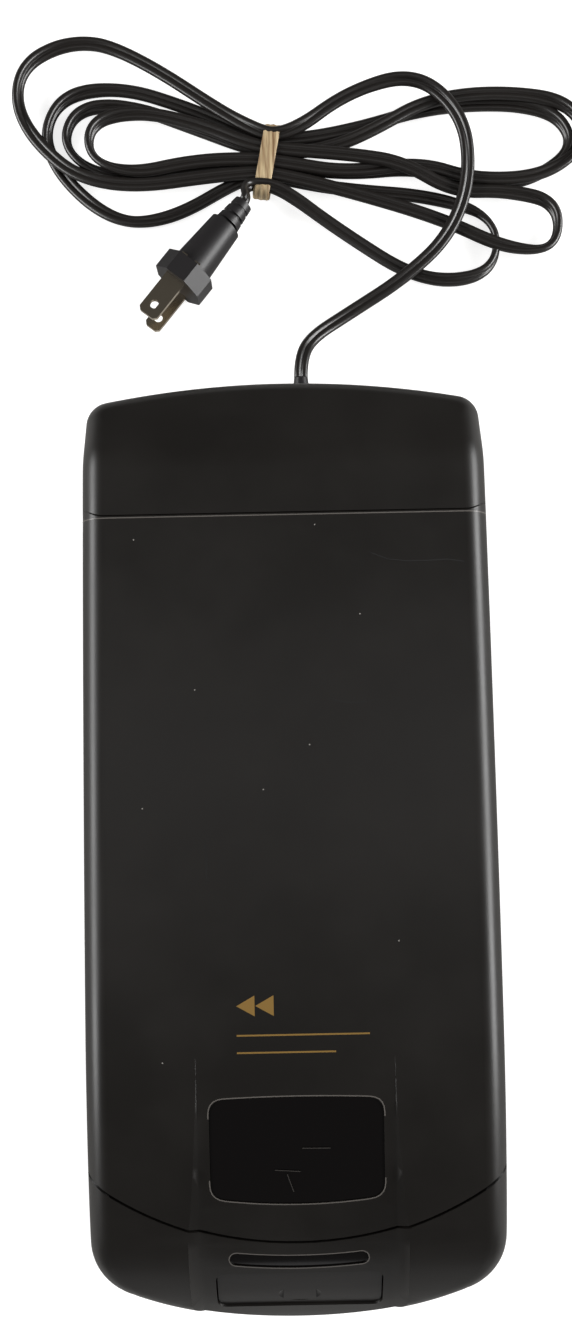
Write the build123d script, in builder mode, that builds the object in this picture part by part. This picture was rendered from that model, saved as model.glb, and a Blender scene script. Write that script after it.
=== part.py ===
from build123d import *
import os
from math import acos, atan2, cos, degrees, hypot, pi, radians, sin, sqrt, tan

# Table-top rewinder for video cassettes, in millimetres.
# Origin: middle of the footprint, on the table. +Z up, the front faces -Y, the mains lead leaves
# the rear (+Y) wall.

# ---- Casing: plan -------------------------------------------------------------------------
overall_width = 125.0
overall_length = 293.0
front_bow_radius = 112.0
rear_bow_radius = 255.0
front_corner_radius = 19.0
rear_corner_radius = 8.0

# ---- Casing: side profile -----------------------------------------------------------------
overall_height = 70.0
foot_height = 2.0
wall = 2.5
edge_radius = 7.5
bottom_radius = 3.0
crease_radius = 24.0
rear_slope_length = 26.3
rear_slope_angle = 26.0
crease_drop = 1.4
roof_front_drop = 1.0
fall_start = 95.0
nose_start = 33.0
nose_start_drop = 7.8
nose_end_drop = 36.0
nose_overrun = 5.0

# ---- Seams --------------------------------------------------------------------------------
parting_height = 38.0
parting_gap = 0.8
rear_cover_length = 47.0
rear_seam_gap = 0.5
nose_length = 28.3
seam_bow_radius = 100.0
seam_gap = 0.8
seam_lean = 0.07
bulkhead = 2.5

# ---- Recessed band over the lid's front and the nose ----------------------------------------
band_half_width = 29.2
band_depth = 2.5
band_end_depth = 0.2
band_start_lift = 0.05
band_ramp = 3.4

# ---- Window, lamp lens, button ----------------------------------------------------------------
window_width = 51.3
window_length = 32.2
window_front = 41.8
window_bow = 2.0
window_rear_bow = 0.7
window_corner = 4.5
window_pocket = 1.6
window_ledge = 2.5
lens_width = 41.5
lens_length = 4.2
lens_front = 20.8
lens_bow = 1.1
lens_thickness = 2.5
lens_sink = 0.4
fit_gap = 0.1
button_width = 49.6
button_height = 15.2
button_tilt = 45.0
button_back = 11.3
button_drop = 19.6
button_corner = 2.5
button_gap = 0.4
button_skin = 2.4
button_depth = 4.6
button_wall = 1.6
button_inset = 0.7
dimple_width = 13.0
dimple_height = 7.4
dimple_depth = 1.0
dimple_back = 10.2
plunger_length = 5.6
plunger_setback = 3.35
plunger_drop = 4.15
plunger_bite = 1.7
hook_setback = 2.8
hook_thickness = 1.6
hook_clearance = 2.9

# ---- Cassette well ----------------------------------------------------------------------------
cassette_length = 187.0
cassette_width = 103.0
cassette_clearance = 1.5
well_shift = -0.5
deck_floor = 34.0
deck_thickness = 2.0
rim_wall = 2.0
rim_height = 10.0
rib_height = 1.0
deck_clearance = 0.3
reel_spacing = 92.0
reel_offset = 3.5

# ---- Hinge -------------------------------------------------------------------------------------
hinge_back = 4.8
hinge_drop = 7.4
hinge_clearance = 0.32
pin_diameter = 3.0
pin_clearance = 0.05
ear_thickness = 2.7
ear_gap = 0.3
ear_radius = 2.9
lug_radius = 3.4

# ---- Drive -------------------------------------------------------------------------------------
shaft_diameter = 4.0
running_clearance = 0.05
bush_diameter = 9.0
hub_disc_diameter = 26.0
hub_disc_height = 1.8
hub_post_diameter = 9.0
hub_post_height = 12.0
hub_fin_reach = 7.5
hub_fins = 6
pulley_diameter = 50.0
motor_pulley_diameter = 8.0
pulley_width = 5.0
groove_depth = 1.6
belt_size = 1.5
belt_gap = 0.1
belt_height = 10.5
motor_diameter = 27.0
motor_length = 17.0
motor_reach_x = 33.0
motor_reach_y = 40.0

# ---- Fasteners and feet ------------------------------------------------------------------------
foot_diameter = 12.0
foot_pocket = 1.0
foot_inset_x = 14.0
foot_inset_y = 27.0
screw_diameter = 2.9
screw_hole = 3.1
screw_head_diameter = 5.6
screw_head_height = 2.0
screw_length = 12.0
post_diameter = 9.0
head_bore = 6.3
front_post_x = 40.0
front_post_back = 15.2
rear_post_x = 45.0
rear_post_back = 1.8
cover_post_x = 48.0
cover_post_inset = 12.0
cover_post_top = 30.0
post_drop = 8.0

# ---- Mains lead: flat twin cord, 5.0 x 2.6, as a round tube of like section area ----------------
cord_diameter = 3.6
hank_offset = (-3.7, 100.8)
hank_angle = -8.0
waist_pitch = 5.0
waist_straight = 6.5
waist_lift = 0.9
floor_gap = 0.2
layer_rise = 4.2
tie_width = 6.0
tie_thickness = 1.0
tie_slack = 0.8
plug_angle = -125.0 + 1.8
plug_height = 9.75
plug_tail = (-7.5, -19.0)
plug_straight = 6.5
relief_length = 9.0
barrel_length = 17.0
barrel_diameter = 13.5
flange_width = 19.0
flange_length = 8.0
blade_length = 17.0
blade_pitch = 12.7
blade_thickness = 1.5
blade_widths = (7.9, 6.3)

# ---- Worked out --------------------------------------------------------------------------------
half_width = overall_width / 2
front_y = -overall_length / 2
rear_y = overall_length / 2
top = overall_height
crease_y = rear_y - rear_slope_length
rear_seam_y = rear_y - rear_cover_length
seam_front_y = front_y + nose_length
seam_centre_y = seam_front_y + seam_bow_radius
hinge_y = rear_seam_y - hinge_back
hinge_z = top - hinge_drop
floor_top = foot_height + wall
well_centre_y = well_shift
spindle_x = reel_offset
drive_y = well_centre_y + reel_spacing / 2
idler_y = well_centre_y - reel_spacing / 2
motor_x = spindle_x - motor_reach_x
motor_y = drive_y - motor_reach_y
well_half_x = cassette_width / 2 + cassette_clearance
well_half_y = cassette_length / 2 + cassette_clearance
hank_centre = (hank_offset[0], rear_y + hank_offset[1])
cord_radius = cord_diameter / 2
cord_low = cord_radius + floor_gap
cord_high = cord_low + layer_rise
cord_over = cord_high + layer_rise
reach_out = 40.0


def plan_outline(inset):
    """Closed plan of the casing, pulled in by inset all round, drawn in the current sketch."""
    side = half_width - inset
    front = front_y + inset
    rear = rear_y - inset
    front_drop = front_bow_radius - sqrt(front_bow_radius**2 - side**2)
    rear_drop = rear_bow_radius - sqrt(rear_bow_radius**2 - side**2)
    with BuildSketch(Plane.XY.offset(foot_height + inset)) as plan:
        with BuildLine():
            ThreePointArc((-side, front + front_drop), (0, front), (side, front + front_drop))
            Line((side, front + front_drop), (side, rear - rear_drop))
            ThreePointArc((side, rear - rear_drop), (0, rear), (-side, rear - rear_drop))
            Line((-side, rear - rear_drop), (-side, front + front_drop))
        make_face()
        fillet(plan.vertices().group_by(Axis.Y)[0], front_corner_radius - inset)
        fillet(plan.vertices().group_by(Axis.Y)[-1], rear_corner_radius - inset)
    return plan.sketch


def roof_arcs(lift, top_depth, end_depth):
    """Crown, fall and nose of the roof line in side view; the band's own fall and nose lie deeper."""
    crease = (crease_y, top - crease_drop)
    crown_front = (front_y + fall_start, top - roof_front_drop)
    crown_top = ((crease[0] + crown_front[0]) / 2, top)
    crown = ThreePointArc(crease, crown_top, crown_front)
    start = (crown_front[0], crown_front[1] + lift)
    nose_top = (front_y + nose_start, top - nose_start_drop - top_depth)
    nose_end = (front_y - nose_overrun, top - nose_end_drop - end_depth)
    fall = TangentArc(start, nose_top, tangent=crown % 1)
    nose = TangentArc(nose_top, nose_end, tangent=fall % 1)
    return crown, fall, nose


def side_profile(inset):
    """Side view of the casing below its roof line, with the floor and ends left long."""
    arcs = roof_arcs(0, 0, 0)
    crease = arcs[0] @ 0
    nose_end = arcs[2] @ 1
    tail_y = rear_y + nose_overrun
    tail_z = crease.Y - (tail_y - crease_y) * tan(radians(rear_slope_angle))
    corners = [nose_end, (nose_end.X, -wall), (tail_y, -wall), (tail_y, tail_z), crease]
    with BuildSketch(Plane.YZ) as profile:
        with BuildLine():
            add(arcs)
            Polyline(*corners)
        make_face()
        fillet(profile.vertices().sort_by_distance(Vector(crease_y, crease.Y, 0))[0], crease_radius)
        if inset:
            offset(amount=-inset, kind=Kind.INTERSECTION)
    return profile.sketch


def rounded_body(inset):
    """The casing's outer skin as a solid, pulled in by inset."""
    plan = plan_outline(inset)
    profile = side_profile(inset)
    with BuildPart() as body:
        extrude(plan, amount=overall_height)
        extrude(profile, amount=overall_width, both=True, mode=Mode.INTERSECT)
        upper = body.edges().filter_by(lambda e: e.center().Z > parting_height)
        rim = upper.filter_by(lambda e: e.bounding_box().size.Y > 0.2 or abs(e.center().X) < 1)
        rim = rim.filter_by(lambda e: not on_roof_line(e))
        fillet(rim, edge_radius - inset)
        if not inset:
            fillet(body.edges().group_by(Axis.Z)[0], bottom_radius)
    return body.part


def on_roof_line(edge):
    """True for the straight edges that run across the casing on its roof."""
    size = edge.bounding_box().size
    return size.Y < 0.5 and size.Z < 0.5


def band_region(drop):
    """All that lies above the floor of the recessed band, pushed down by drop, with ramped sides."""
    start = band_fall @ 0
    nose_end = band_nose @ 1
    corners = [
        nose_end,
        (front_y - reach_out, nose_end.Y),
        (front_y - reach_out, top + reach_out),
        (start.X, top + reach_out),
        start,
    ]
    with BuildSketch(Plane.YZ) as side:
        with BuildLine():
            add((band_fall, band_nose))
            Polyline(*corners)
        make_face()
        if drop:
            offset(amount=drop, kind=Kind.INTERSECTION)
    floor_half = band_half_width + drop
    ramp_angle = degrees(atan2(band_depth, band_ramp))
    with BuildPart() as band:
        extrude(side.sketch, amount=floor_half, both=True)
        for face in band.faces().sort_by(Axis.X)[0], band.faces().sort_by(Axis.X)[-1]:
            extrude(face, amount=band_ramp, taper=ramp_angle)
    return band.part


def front_region(grow):
    """All that lies in front of the lid's bowed front seam; grow moves the seam back."""
    with BuildSketch(Plane.XY.offset(top + reach_out)) as plan:
        with Locations((0, seam_centre_y - overall_length / 2)):
            Rectangle(2 * overall_width, overall_length)
        with Locations((0, seam_centre_y)):
            Circle(seam_bow_radius - grow, mode=Mode.SUBTRACT)
    lean_back = seam_lean * reach_out
    with BuildPart() as region:
        extrude(plan.sketch, amount=2 * overall_height, dir=(0, seam_lean, -1))
    return Pos(0, -lean_back, 0) * region.part


def slab(low_y, high_y, low_z, high_z, width=2 * overall_width, x=0.0):
    """A plain block between two Y and two Z values."""
    centre = ((low_y + high_y) / 2, (low_z + high_z) / 2)
    return Pos(x, centre[0], centre[1]) * Box(width, high_y - low_y, high_z - low_z)


_, band_fall, band_nose = roof_arcs(band_start_lift, band_depth, band_end_depth)
outer_body = rounded_body(0)
inner_body = rounded_body(wall)
outer_skin = outer_body - band_region(0)
inner_skin = inner_body - band_region(wall)
casing = outer_skin - inner_skin


def block(x_range, y_range, z_range):
    """A plain block given by its three ranges."""
    size = (x_range[1] - x_range[0], y_range[1] - y_range[0], z_range[1] - z_range[0])
    centre = (sum(x_range) / 2, sum(y_range) / 2, sum(z_range) / 2)
    return Pos(*centre) * Box(*size)


def pillar(x, y, low_z, high_z, diameter):
    """An upright cylinder between two heights."""
    centre = Pos(x, y, (low_z + high_z) / 2)
    return centre * Cylinder(diameter / 2, high_z - low_z)


def cross_rod(x_range, y, z, radius):
    """A cylinder lying along X."""
    centre = Pos(sum(x_range) / 2, y, z)
    return centre * Rot(0, 90, 0) * Cylinder(radius, x_range[1] - x_range[0])


def both_sides(shape):
    """The shape and its mirror image across the middle of the machine."""
    return shape + mirror(shape, about=Plane.YZ)


def screw(x, y, head_z, length, up=True):
    """A pan-head screw, head centre at the given spot, shank up or down."""
    way = 1 if up else -1
    shank = pillar(x, y, *sorted((head_z, head_z + way * length)), screw_diameter)
    head = pillar(x, y, *sorted((head_z - way * screw_head_height, head_z)), screw_head_diameter)
    return shank + head


def save(shape, name):
    """Keeps one named piece as its own file."""
    shape.label = name
    export_step(shape, "parts/" + name + ".step")


os.makedirs("parts", exist_ok=True)
hidden = top + reach_out

# ---- Seam regions ------------------------------------------------------------------------------
nose_region = front_region(0)
lid_front_region = front_region(seam_gap)
rear_region = slab(rear_seam_y + rear_seam_gap / 2, hidden * 3, -wall, hidden)
hinge_sweep = hypot(rear_seam_y - rear_seam_gap / 2 - hinge_y, top - hinge_z)
lid_knuckle = cross_rod((-hidden, hidden), hinge_y, hinge_z, hinge_sweep)
cover_hollow = cross_rod((-hidden, hidden), hinge_y, hinge_z, hinge_sweep + hinge_clearance)

# ---- Button outline, along its own slanting travel ---------------------------------------------
button_plane = Plane(
    origin=(0, front_y + button_back, top - button_drop),
    x_dir=(1, 0, 0),
    z_dir=(0, cos(radians(button_tilt)), -sin(radians(button_tilt))),
)


def button_prism(grow, low, high):
    """The button's outline grown all round, drawn out along its travel between two depths."""
    with BuildPart() as prism:
        with BuildSketch(button_plane.offset(low)):
            RectangleRounded(
                button_width + 2 * grow, button_height + 2 * grow, button_corner + grow
            )
        extrude(amount=high - low)
    return prism.part


def window_prism(shrink, low_z, high_z):
    """The window's bowed outline, pulled in by shrink, between two heights."""
    side = window_width / 2 - shrink
    front = front_y + window_front + shrink
    rear = front_y + window_front + window_length - shrink
    with BuildPart() as prism:
        with BuildSketch(Plane.XY.offset(low_z)) as outline:
            with BuildLine():
                ThreePointArc((-side, front + window_bow), (0, front), (side, front + window_bow))
                Line((side, front + window_bow), (side, rear - window_rear_bow))
                ThreePointArc(
                    (side, rear - window_rear_bow), (0, rear), (-side, rear - window_rear_bow)
                )
                Line((-side, rear - window_rear_bow), (-side, front + window_bow))
            make_face()
            fillet(outline.vertices(), window_corner - shrink)
        extrude(amount=high_z - low_z)
    return prism.part


def lens_prism(shrink, low_z, high_z):
    """The lamp slot's bowed outline, pulled in by shrink, between two heights."""
    reach = (lens_width - lens_length) / 2
    middle = front_y + lens_front + lens_length / 2
    with BuildPart() as prism:
        with BuildSketch(Plane.XY.offset(low_z)):
            with BuildLine() as bow:
                ThreePointArc((-reach, middle + lens_bow), (0, middle), (reach, middle + lens_bow))
            SlotArc(bow.wires()[0], lens_length - 2 * shrink)
        extrude(amount=high_z - low_z)
    return prism.part


# ---- Base tub ----------------------------------------------------------------------------------
low_part = slab(-hidden * 3, hidden * 3, -wall, parting_height)
nose_part = nose_region & slab(-hidden * 3, 0, parting_height - 1, hidden)
base = (casing & low_part) + (casing & nose_part)
bulkhead_ring = (nose_region - front_region(-bulkhead)) & inner_skin
base = base + (bulkhead_ring & slab(-hidden * 3, 0, deck_floor - 4, hidden))

front_post = (front_post_x, seam_front_y + front_post_back)
rear_post = (rear_post_x, rear_seam_y + rear_post_back)
cover_post = (cover_post_x, rear_y - cover_post_inset)
deck_flange_z = deck_floor + deck_thickness
deck_posts = [(sx * p[0], p[1]) for p in (front_post, rear_post) for sx in (-1, 1)]
cover_posts = [(sx * cover_post[0], cover_post[1]) for sx in (-1, 1)]
post_top = deck_flange_z
deck_head_z = deck_flange_z - post_drop
cover_head_z = cover_post_top - post_drop
for x, y in deck_posts:
    base = base + pillar(x, y, foot_height + wall / 2, post_top, post_diameter)
for x, y in cover_posts:
    base = base + pillar(x, y, foot_height + wall / 2, cover_post_top, post_diameter)
for x, y in deck_posts:
    base = base - pillar(x, y, 0, deck_head_z, head_bore)
    base = base - pillar(x, y, 0, post_top + 1, screw_hole)
for x, y in cover_posts:
    base = base - pillar(x, y, 0, cover_head_z, head_bore)
    base = base - pillar(x, y, 0, cover_post_top + 1, screw_hole)

foot_spots = [
    (sx * (half_width - foot_inset_x), sy * (rear_y - foot_inset_y)) for sx in (-1, 1) for sy in (-1, 1)
]
for x, y in foot_spots:
    base = base - pillar(x, y, 0, foot_height + foot_pocket, foot_diameter)

lens_y = front_y + lens_front + lens_length / 2
led_hole = 3.2
led_setback = 0.7
led_y = lens_y + led_setback
base = base - lens_prism(0, parting_height + 10, hidden)
base = base - button_prism(button_gap, -20, 11)
slider_z = parting_height + deck_clearance
slider_thickness = 2.5
slider_half_x = 10.0
slider_window = block(
    (-slider_half_x - 1, slider_half_x + 1),
    (seam_front_y - 8, seam_front_y + 8),
    (slider_z - 0.6, slider_z + slider_thickness + 0.7),
)
base = base - slider_window
led_shelf_z = 47.5
base = base + block((-4, 4), (led_y - 2.4, seam_front_y - 0.6), (led_shelf_z, led_shelf_z + 1.5))
base = base - pillar(0, led_y, led_shelf_z - 1, led_shelf_z + 3, led_hole)

button_head = (
    front_y + button_back + button_height / 2 * sin(radians(button_tilt)),
    top - button_drop + button_height / 2 * cos(radians(button_tilt)),
)
plunger_y = button_head[0] - plunger_setback
seat_y = plunger_y - plunger_length / 2
seat_top = 22.0
base = base + pillar(0, seat_y, floor_top - 0.5, seat_top, 8.0)
base = base + pillar(0, seat_y, floor_top, seat_top + 3, 3.4)

board_size = (60.0, 46.0, 1.6)
board_centre = (spindle_x - 11.5, idler_y - 17.0)
board_z = 10.0
board_spots = [
    (board_centre[0] + sx * (board_size[0] / 2 - 4), board_centre[1] + sy * (board_size[1] / 2 - 4))
    for sx in (-1, 1)
    for sy in (-1, 1)
]
for x, y in board_spots:
    base = base + pillar(x, y, floor_top - 0.5, board_z, 6.0)
    base = base - pillar(x, y, floor_top, board_z + 1, 2.0)

core_size = (48.0, 17.0, 40.0)
core_centre = (-18.0, rear_y - 22.5)
strap_thickness = 0.8
strap_foot = 9.0
strap_half = core_size[0] / 2 + strap_thickness
strap_boss_z = floor_top + 4.0
strap_spots = [
    (core_centre[0] + sx * (strap_half + strap_foot / 2), core_centre[1]) for sx in (-1, 1)
]
for x, y in strap_spots:
    base = base + pillar(x, y, floor_top - 0.5, strap_boss_z, 7.5)
    base = base - pillar(x, y, floor_top, strap_boss_z + 1, 2.6)

exit_x = 7.0
exit_z = 10.0
grommet_hole = 9.0
base = base - Pos(exit_x, rear_y, exit_z) * Rot(90, 0, 0) * Cylinder(grommet_hole / 2, 16)
save(base, "base_tub")

with BuildPart() as rubber_feet:
    for x, y in foot_spots:
        with BuildSketch(Plane.XY) as pad:
            with Locations((x, y)):
                Circle(foot_diameter / 2)
        extrude(amount=foot_height + foot_pocket)
save(rubber_feet.part, "rubber_feet")

screws = [screw(x, y, deck_head_z, screw_length) for x, y in deck_posts]
screws += [screw(x, y, cover_head_z, screw_length) for x, y in cover_posts]
save(Compound(screws), "case_screws")

# ---- Cassette deck -----------------------------------------------------------------------------
rim_top = deck_floor + rim_height
well_y = (well_centre_y - well_half_y, well_centre_y + well_half_y)
deck_rear_y = rear_seam_y + 4.8
bay_side = half_width - wall - deck_clearance
flange = inner_skin & slab(-hidden * 3, deck_rear_y, deck_flange_z, deck_flange_z + deck_thickness)
flange = flange - front_region(deck_clearance + 0.2)
flange = flange & block((-bay_side, bay_side), (-rear_y, rear_y), (0, top))
well_outer = block(
    (-well_half_x - rim_wall, well_half_x + rim_wall),
    (well_y[0] - rim_wall, well_y[1] + rim_wall),
    (deck_floor - deck_thickness, rim_top),
)
well_inner = block((-well_half_x, well_half_x), well_y, (deck_floor, rim_top + 1))
deck = flange + well_outer
bush_length = 14.0
bush_top = deck_floor + 0.3
bush_bottom = bush_top - bush_length
for y in (drive_y, idler_y):
    deck = deck + pillar(spindle_x, y, bush_bottom + 1.3, deck_floor - 1, bush_diameter + 5)
motor_top = deck_floor - deck_thickness
motor_bottom = motor_top - motor_length
belt_way = atan2(drive_y - motor_y, spindle_x - motor_x)
side_way = (-sin(belt_way), cos(belt_way))
motor_screw_reach = 19.0
motor_spots = [
    (motor_x + s * motor_screw_reach * side_way[0], motor_y + s * motor_screw_reach * side_way[1])
    for s in (-1, 1)
]
for x, y in motor_spots:
    deck = deck + pillar(x, y, motor_bottom, deck_floor - 1, 7.0)
deck = deck - well_inner
for y in (drive_y, idler_y):
    deck = deck - pillar(spindle_x, y, bush_bottom - 1, deck_floor + 1, bush_diameter)
for x, y in motor_spots:
    deck = deck - pillar(x, y, motor_bottom - 1, motor_bottom + 9, screw_diameter)
boss_diameter = 6.0
for x, y in deck_posts:
    deck = deck + pillar(x, y, deck_flange_z, rim_top, boss_diameter)
    deck = deck - pillar(x, y, deck_flange_z - 1, deck_head_z + screw_length + 0.5, screw_diameter)
rib_x = well_half_x - 9.0
for x in (-rib_x, rib_x):
    deck = deck + block(
        (x - 1, x + 1), (well_y[0], well_y[1]), (deck_floor - 0.5, deck_floor + rib_height)
    )
catch_slot_half = 8.0
deck = deck - block(
    (-catch_slot_half, catch_slot_half), (seam_front_y - 4, seam_front_y + 12.5), (0, hidden)
)
rail_gap = 0.35
rail_in = slider_half_x + rail_gap
rail_lip_z = slider_z + slider_thickness + 0.35
rail_y = (seam_front_y + 4.5, seam_front_y + 17.0)
for side in (-1, 1):
    wall_x = sorted((side * rail_in, side * (rail_in + 2)))
    lip_x = sorted((side * (rail_in - 1.6), side * (rail_in + 2)))
    deck = deck + block(wall_x, rail_y, (deck_flange_z, rail_lip_z + 1.4))
    deck = deck + block(lip_x, rail_y, (rail_lip_z, rail_lip_z + 1.4))
save(deck, "cassette_deck")

# ---- Rear cover --------------------------------------------------------------------------------
cover_low = parting_height + 0.2
cover = casing & rear_region & slab(-hidden * 3, hidden * 3, cover_low, hidden)
cover_bulkhead_y = rear_seam_y + 5.5
cover_wall = slab(cover_bulkhead_y, cover_bulkhead_y + 2, parting_height + 0.2, hidden) & inner_skin
cover = cover + cover_wall
cover = cover - cover_hollow
side_inner = half_width - wall
ear_out = side_inner - 2.4
ear_in = ear_out - ear_thickness
with BuildPart() as ear:
    with BuildSketch(Plane.YZ.offset(ear_in)):
        with BuildLine():
            Polyline(
                (hinge_y - ear_radius, hinge_z),
                (hinge_y - ear_radius, hinge_z - 10),
                (cover_bulkhead_y + 1, hinge_z - 16),
                (cover_bulkhead_y + 1, hinge_z - 7),
                (hinge_y + ear_radius, hinge_z - 3),
                (hinge_y + ear_radius, hinge_z),
                (hinge_y - ear_radius, hinge_z),
            )
        make_face()
        with Locations((hinge_y, hinge_z)):
            Circle(ear_radius)
    extrude(amount=ear_thickness)
cover = cover + both_sides(ear.part)
for x, y in cover_posts:
    cover_post_body = pillar(x, y, cover_post_top, hidden, boss_diameter) & inner_skin
    cover = cover + (cover_post_body - pillar(x, y, 0, cover_head_z + screw_length + 0.5, screw_diameter))
pin_radius = pin_diameter / 2
pin_end = side_inner - 0.2
cover = cover - cross_rod((-ear_out - 1, ear_out + 1), hinge_y, hinge_z, pin_radius)
save(cover, "rear_cover")

# ---- Lid ---------------------------------------------------------------------------------------
lid_low = parting_height + parting_gap
lid_side_cut = slab(-hidden * 3, rear_seam_y - rear_seam_gap / 2, lid_low, hidden)
lid_zone = lid_side_cut + (lid_knuckle & slab(0, hidden * 3, lid_low, hidden))
lid = (casing & lid_zone) - lid_front_region
lip_thickness = 2.2
lip_low = 52.0
lid_lip = front_region(seam_gap + lip_thickness) - lid_front_region
lid = lid + (lid_lip & inner_skin & slab(-hidden * 3, 0, lip_low, hidden))
lug_in = ear_out + ear_gap
lug = cross_rod((lug_in, side_inner + 0.4), hinge_y, hinge_z, lug_radius)
lug = lug + block(
    (lug_in, side_inner + 0.4), (hinge_y - lug_radius, hinge_y + lug_radius), (hinge_z, top - 1)
)
lug = lug & outer_skin
lid = lid + both_sides(lug)
pin_bore = cross_rod((lug_in - 1, pin_end + 0.1), hinge_y, hinge_z, pin_radius + pin_clearance)
lid = lid - both_sides(pin_bore)
window_floor = band_region(window_pocket)
lid = lid - (window_prism(0, parting_height, hidden) & window_floor)
lid = lid - (window_prism(window_ledge, parting_height + 14, hidden))
switch_x = -17.0
switch_y = front_post[1]
rib_low = 50.6
lid = lid + (
    block((switch_x - 1, switch_x + 1), (switch_y - 3, switch_y + 3), (rib_low, hidden)) & inner_skin
)
hook_y = seam_front_y + 3.6
hook_half = 6.0
hook_z = deck_floor + 0.5
hook = block((-hook_half, hook_half), (hook_y, hook_y + 2), (hook_z, hidden)) & inner_skin
hook = hook + block((-hook_half, hook_half), (hook_y, hook_y + 3.8), (hook_z, hook_z + 2.7))
lid = lid + hook
spring_x = 30.0
spring_y = well_centre_y
roof_in_z = top - wall
for x in (-spring_x, spring_x):
    boss = pillar(x, spring_y, roof_in_z - 2.3, hidden, 7.0) & inner_skin
    lid = lid + boss
    lid = lid - pillar(x, spring_y, roof_in_z - 3, roof_in_z - 0.2, 2.4)
save(lid, "lid_shell")

# ---- Window, lens, button ----------------------------------------------------------------------
window_sink = 0.3
pane_layer = band_region(window_pocket) - band_region(window_sink)
pane = window_prism(fit_gap, parting_height, hidden) & pane_layer
save(pane, "lid_window")

lens = lens_prism(fit_gap, parting_height + 10, hidden) & outer_skin
lens = lens & (band_region(lens_sink + lens_thickness) - band_region(lens_sink))
save(lens, "indicator_lens")

button_skin_outer = rounded_body(button_inset) - band_region(button_inset)
button_skin_inner = rounded_body(button_inset + button_skin) - band_region(button_inset + button_skin)
button = button_prism(0, -12, button_depth) & button_skin_outer
button = button - (button_prism(-button_wall, -12, button_depth + 1) & button_skin_inner)
band_arc_centre = (band_nose.arc_center.X, band_nose.arc_center.Y)
skin_radius = band_nose.radius - button_inset
dimple_angle = acos((band_arc_centre[0] - front_y - dimple_back) / skin_radius)
dimple_long = (dimple_width**2 / 4 + dimple_depth**2) / (2 * dimple_depth)
dimple_short = (dimple_height**2 / 4 + dimple_depth**2) / (2 * dimple_depth)
dimple_reach = skin_radius + dimple_short - dimple_depth
dimple_centre = (
    band_arc_centre[0] - dimple_reach * cos(dimple_angle),
    band_arc_centre[1] + dimple_reach * sin(dimple_angle),
)
dimple_end = sqrt(dimple_long**2 - (dimple_long - dimple_short) ** 2)
with BuildPart() as dimple:
    with BuildSketch(Plane.XY):
        with BuildLine():
            ThreePointArc((-dimple_end, 0), (0, dimple_short), (dimple_end, 0))
            Line((dimple_end, 0), (-dimple_end, 0))
        make_face()
    revolve(axis=Axis.X, revolution_arc=360)
button = button - Pos(0, *dimple_centre) * dimple.part
plunger_half = 5.0
plunger_low = slider_z + plunger_bite
plunger_high = button_head[1] - plunger_drop
hook_low = slider_z + slider_thickness + hook_clearance
plunger_x = (-plunger_half, plunger_half)
plunger = block(plunger_x, (plunger_y - plunger_length, plunger_y), (plunger_low, plunger_high - 1))
hook_y_range = (plunger_y + hook_setback, plunger_y + hook_setback + hook_thickness)
plunger = plunger + block(plunger_x, hook_y_range, (hook_low, plunger_high))
button = button + (plunger & button_skin_outer)
save(button, "eject_button")

spring_coil = 5.0
spring_wire = 0.6
spring_turns = 6
spring_low = seat_top
spring_high = plunger_low - spring_wire / 2
with BuildPart() as button_spring:
    with BuildLine(Plane(origin=(0, seat_y, spring_low + spring_wire / 2))) as coil_path:
        Helix(
            pitch=(spring_high - spring_low - spring_wire / 2) / spring_turns,
            height=spring_high - spring_low - spring_wire / 2,
            radius=spring_coil / 2,
        )
    with BuildSketch(Plane(origin=coil_path.line @ 0, z_dir=coil_path.line % 0)):
        Circle(spring_wire / 2)
    sweep(path=coil_path.line, is_frenet=True)
save(button_spring.part, "button_spring")

# ---- Latch slider and its spring ---------------------------------------------------------------
slider_gap = 0.4
slider_front = plunger_y + slider_gap
slider_rear = seam_front_y + 17.5
slider = block(
    (-slider_half_x, slider_half_x),
    (slider_front, slider_rear),
    (slider_z, slider_z + slider_thickness),
)
slider = slider + block(
    (-plunger_half, plunger_half), (slider_front, slider_front + 2), (slider_z, slider_z + 6.9)
)
catch_y = hook_y + 3.8 + 0.5
slider = slider - block(
    (-hook_half - 1.5, hook_half + 1.5), (seam_front_y - 0.5, catch_y), (0, hidden)
)
slider = slider + pillar(0, slider_rear - 3.0, slider_z, slider_z + 6.0, 4.0)
save(slider, "latch_slider")

# ---- Indicator lamp ----------------------------------------------------------------------------
led_diameter = 3.0
lens_top = band_arc_centre[1] + sqrt(band_nose.radius**2 - (lens_y - band_arc_centre[0]) ** 2)
lens_bottom = lens_top - lens_sink - lens_thickness
led_top = lens_bottom - 0.6
led = pillar(0, led_y, led_shelf_z - 1.2, led_top - led_diameter / 2, led_diameter)
led = led + Pos(0, led_y, led_top - led_diameter / 2) * Sphere(led_diameter / 2)
led = led + pillar(0, led_y, led_shelf_z + 1.5, led_shelf_z + 2.3, led_diameter + 0.9)
save(led, "power_led")

# ---- Hinge pins --------------------------------------------------------------------------------
pin = cross_rod((ear_in - 3.2, pin_end), hinge_y, hinge_z, pin_radius)
pin = pin + cross_rod((ear_in - 1.0, ear_in), hinge_y, hinge_z, pin_radius + 0.9)
save(Compound([pin, mirror(pin, about=Plane.YZ)]), "hinge_pins")

# ---- Hold-down springs and rivets on the lid ---------------------------------------------------
strip_width = 12.0
strip_length = 60.0
strip_thick = 0.5
strip_sag = 3.6
strip_top = roof_in_z - 2.3


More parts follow.
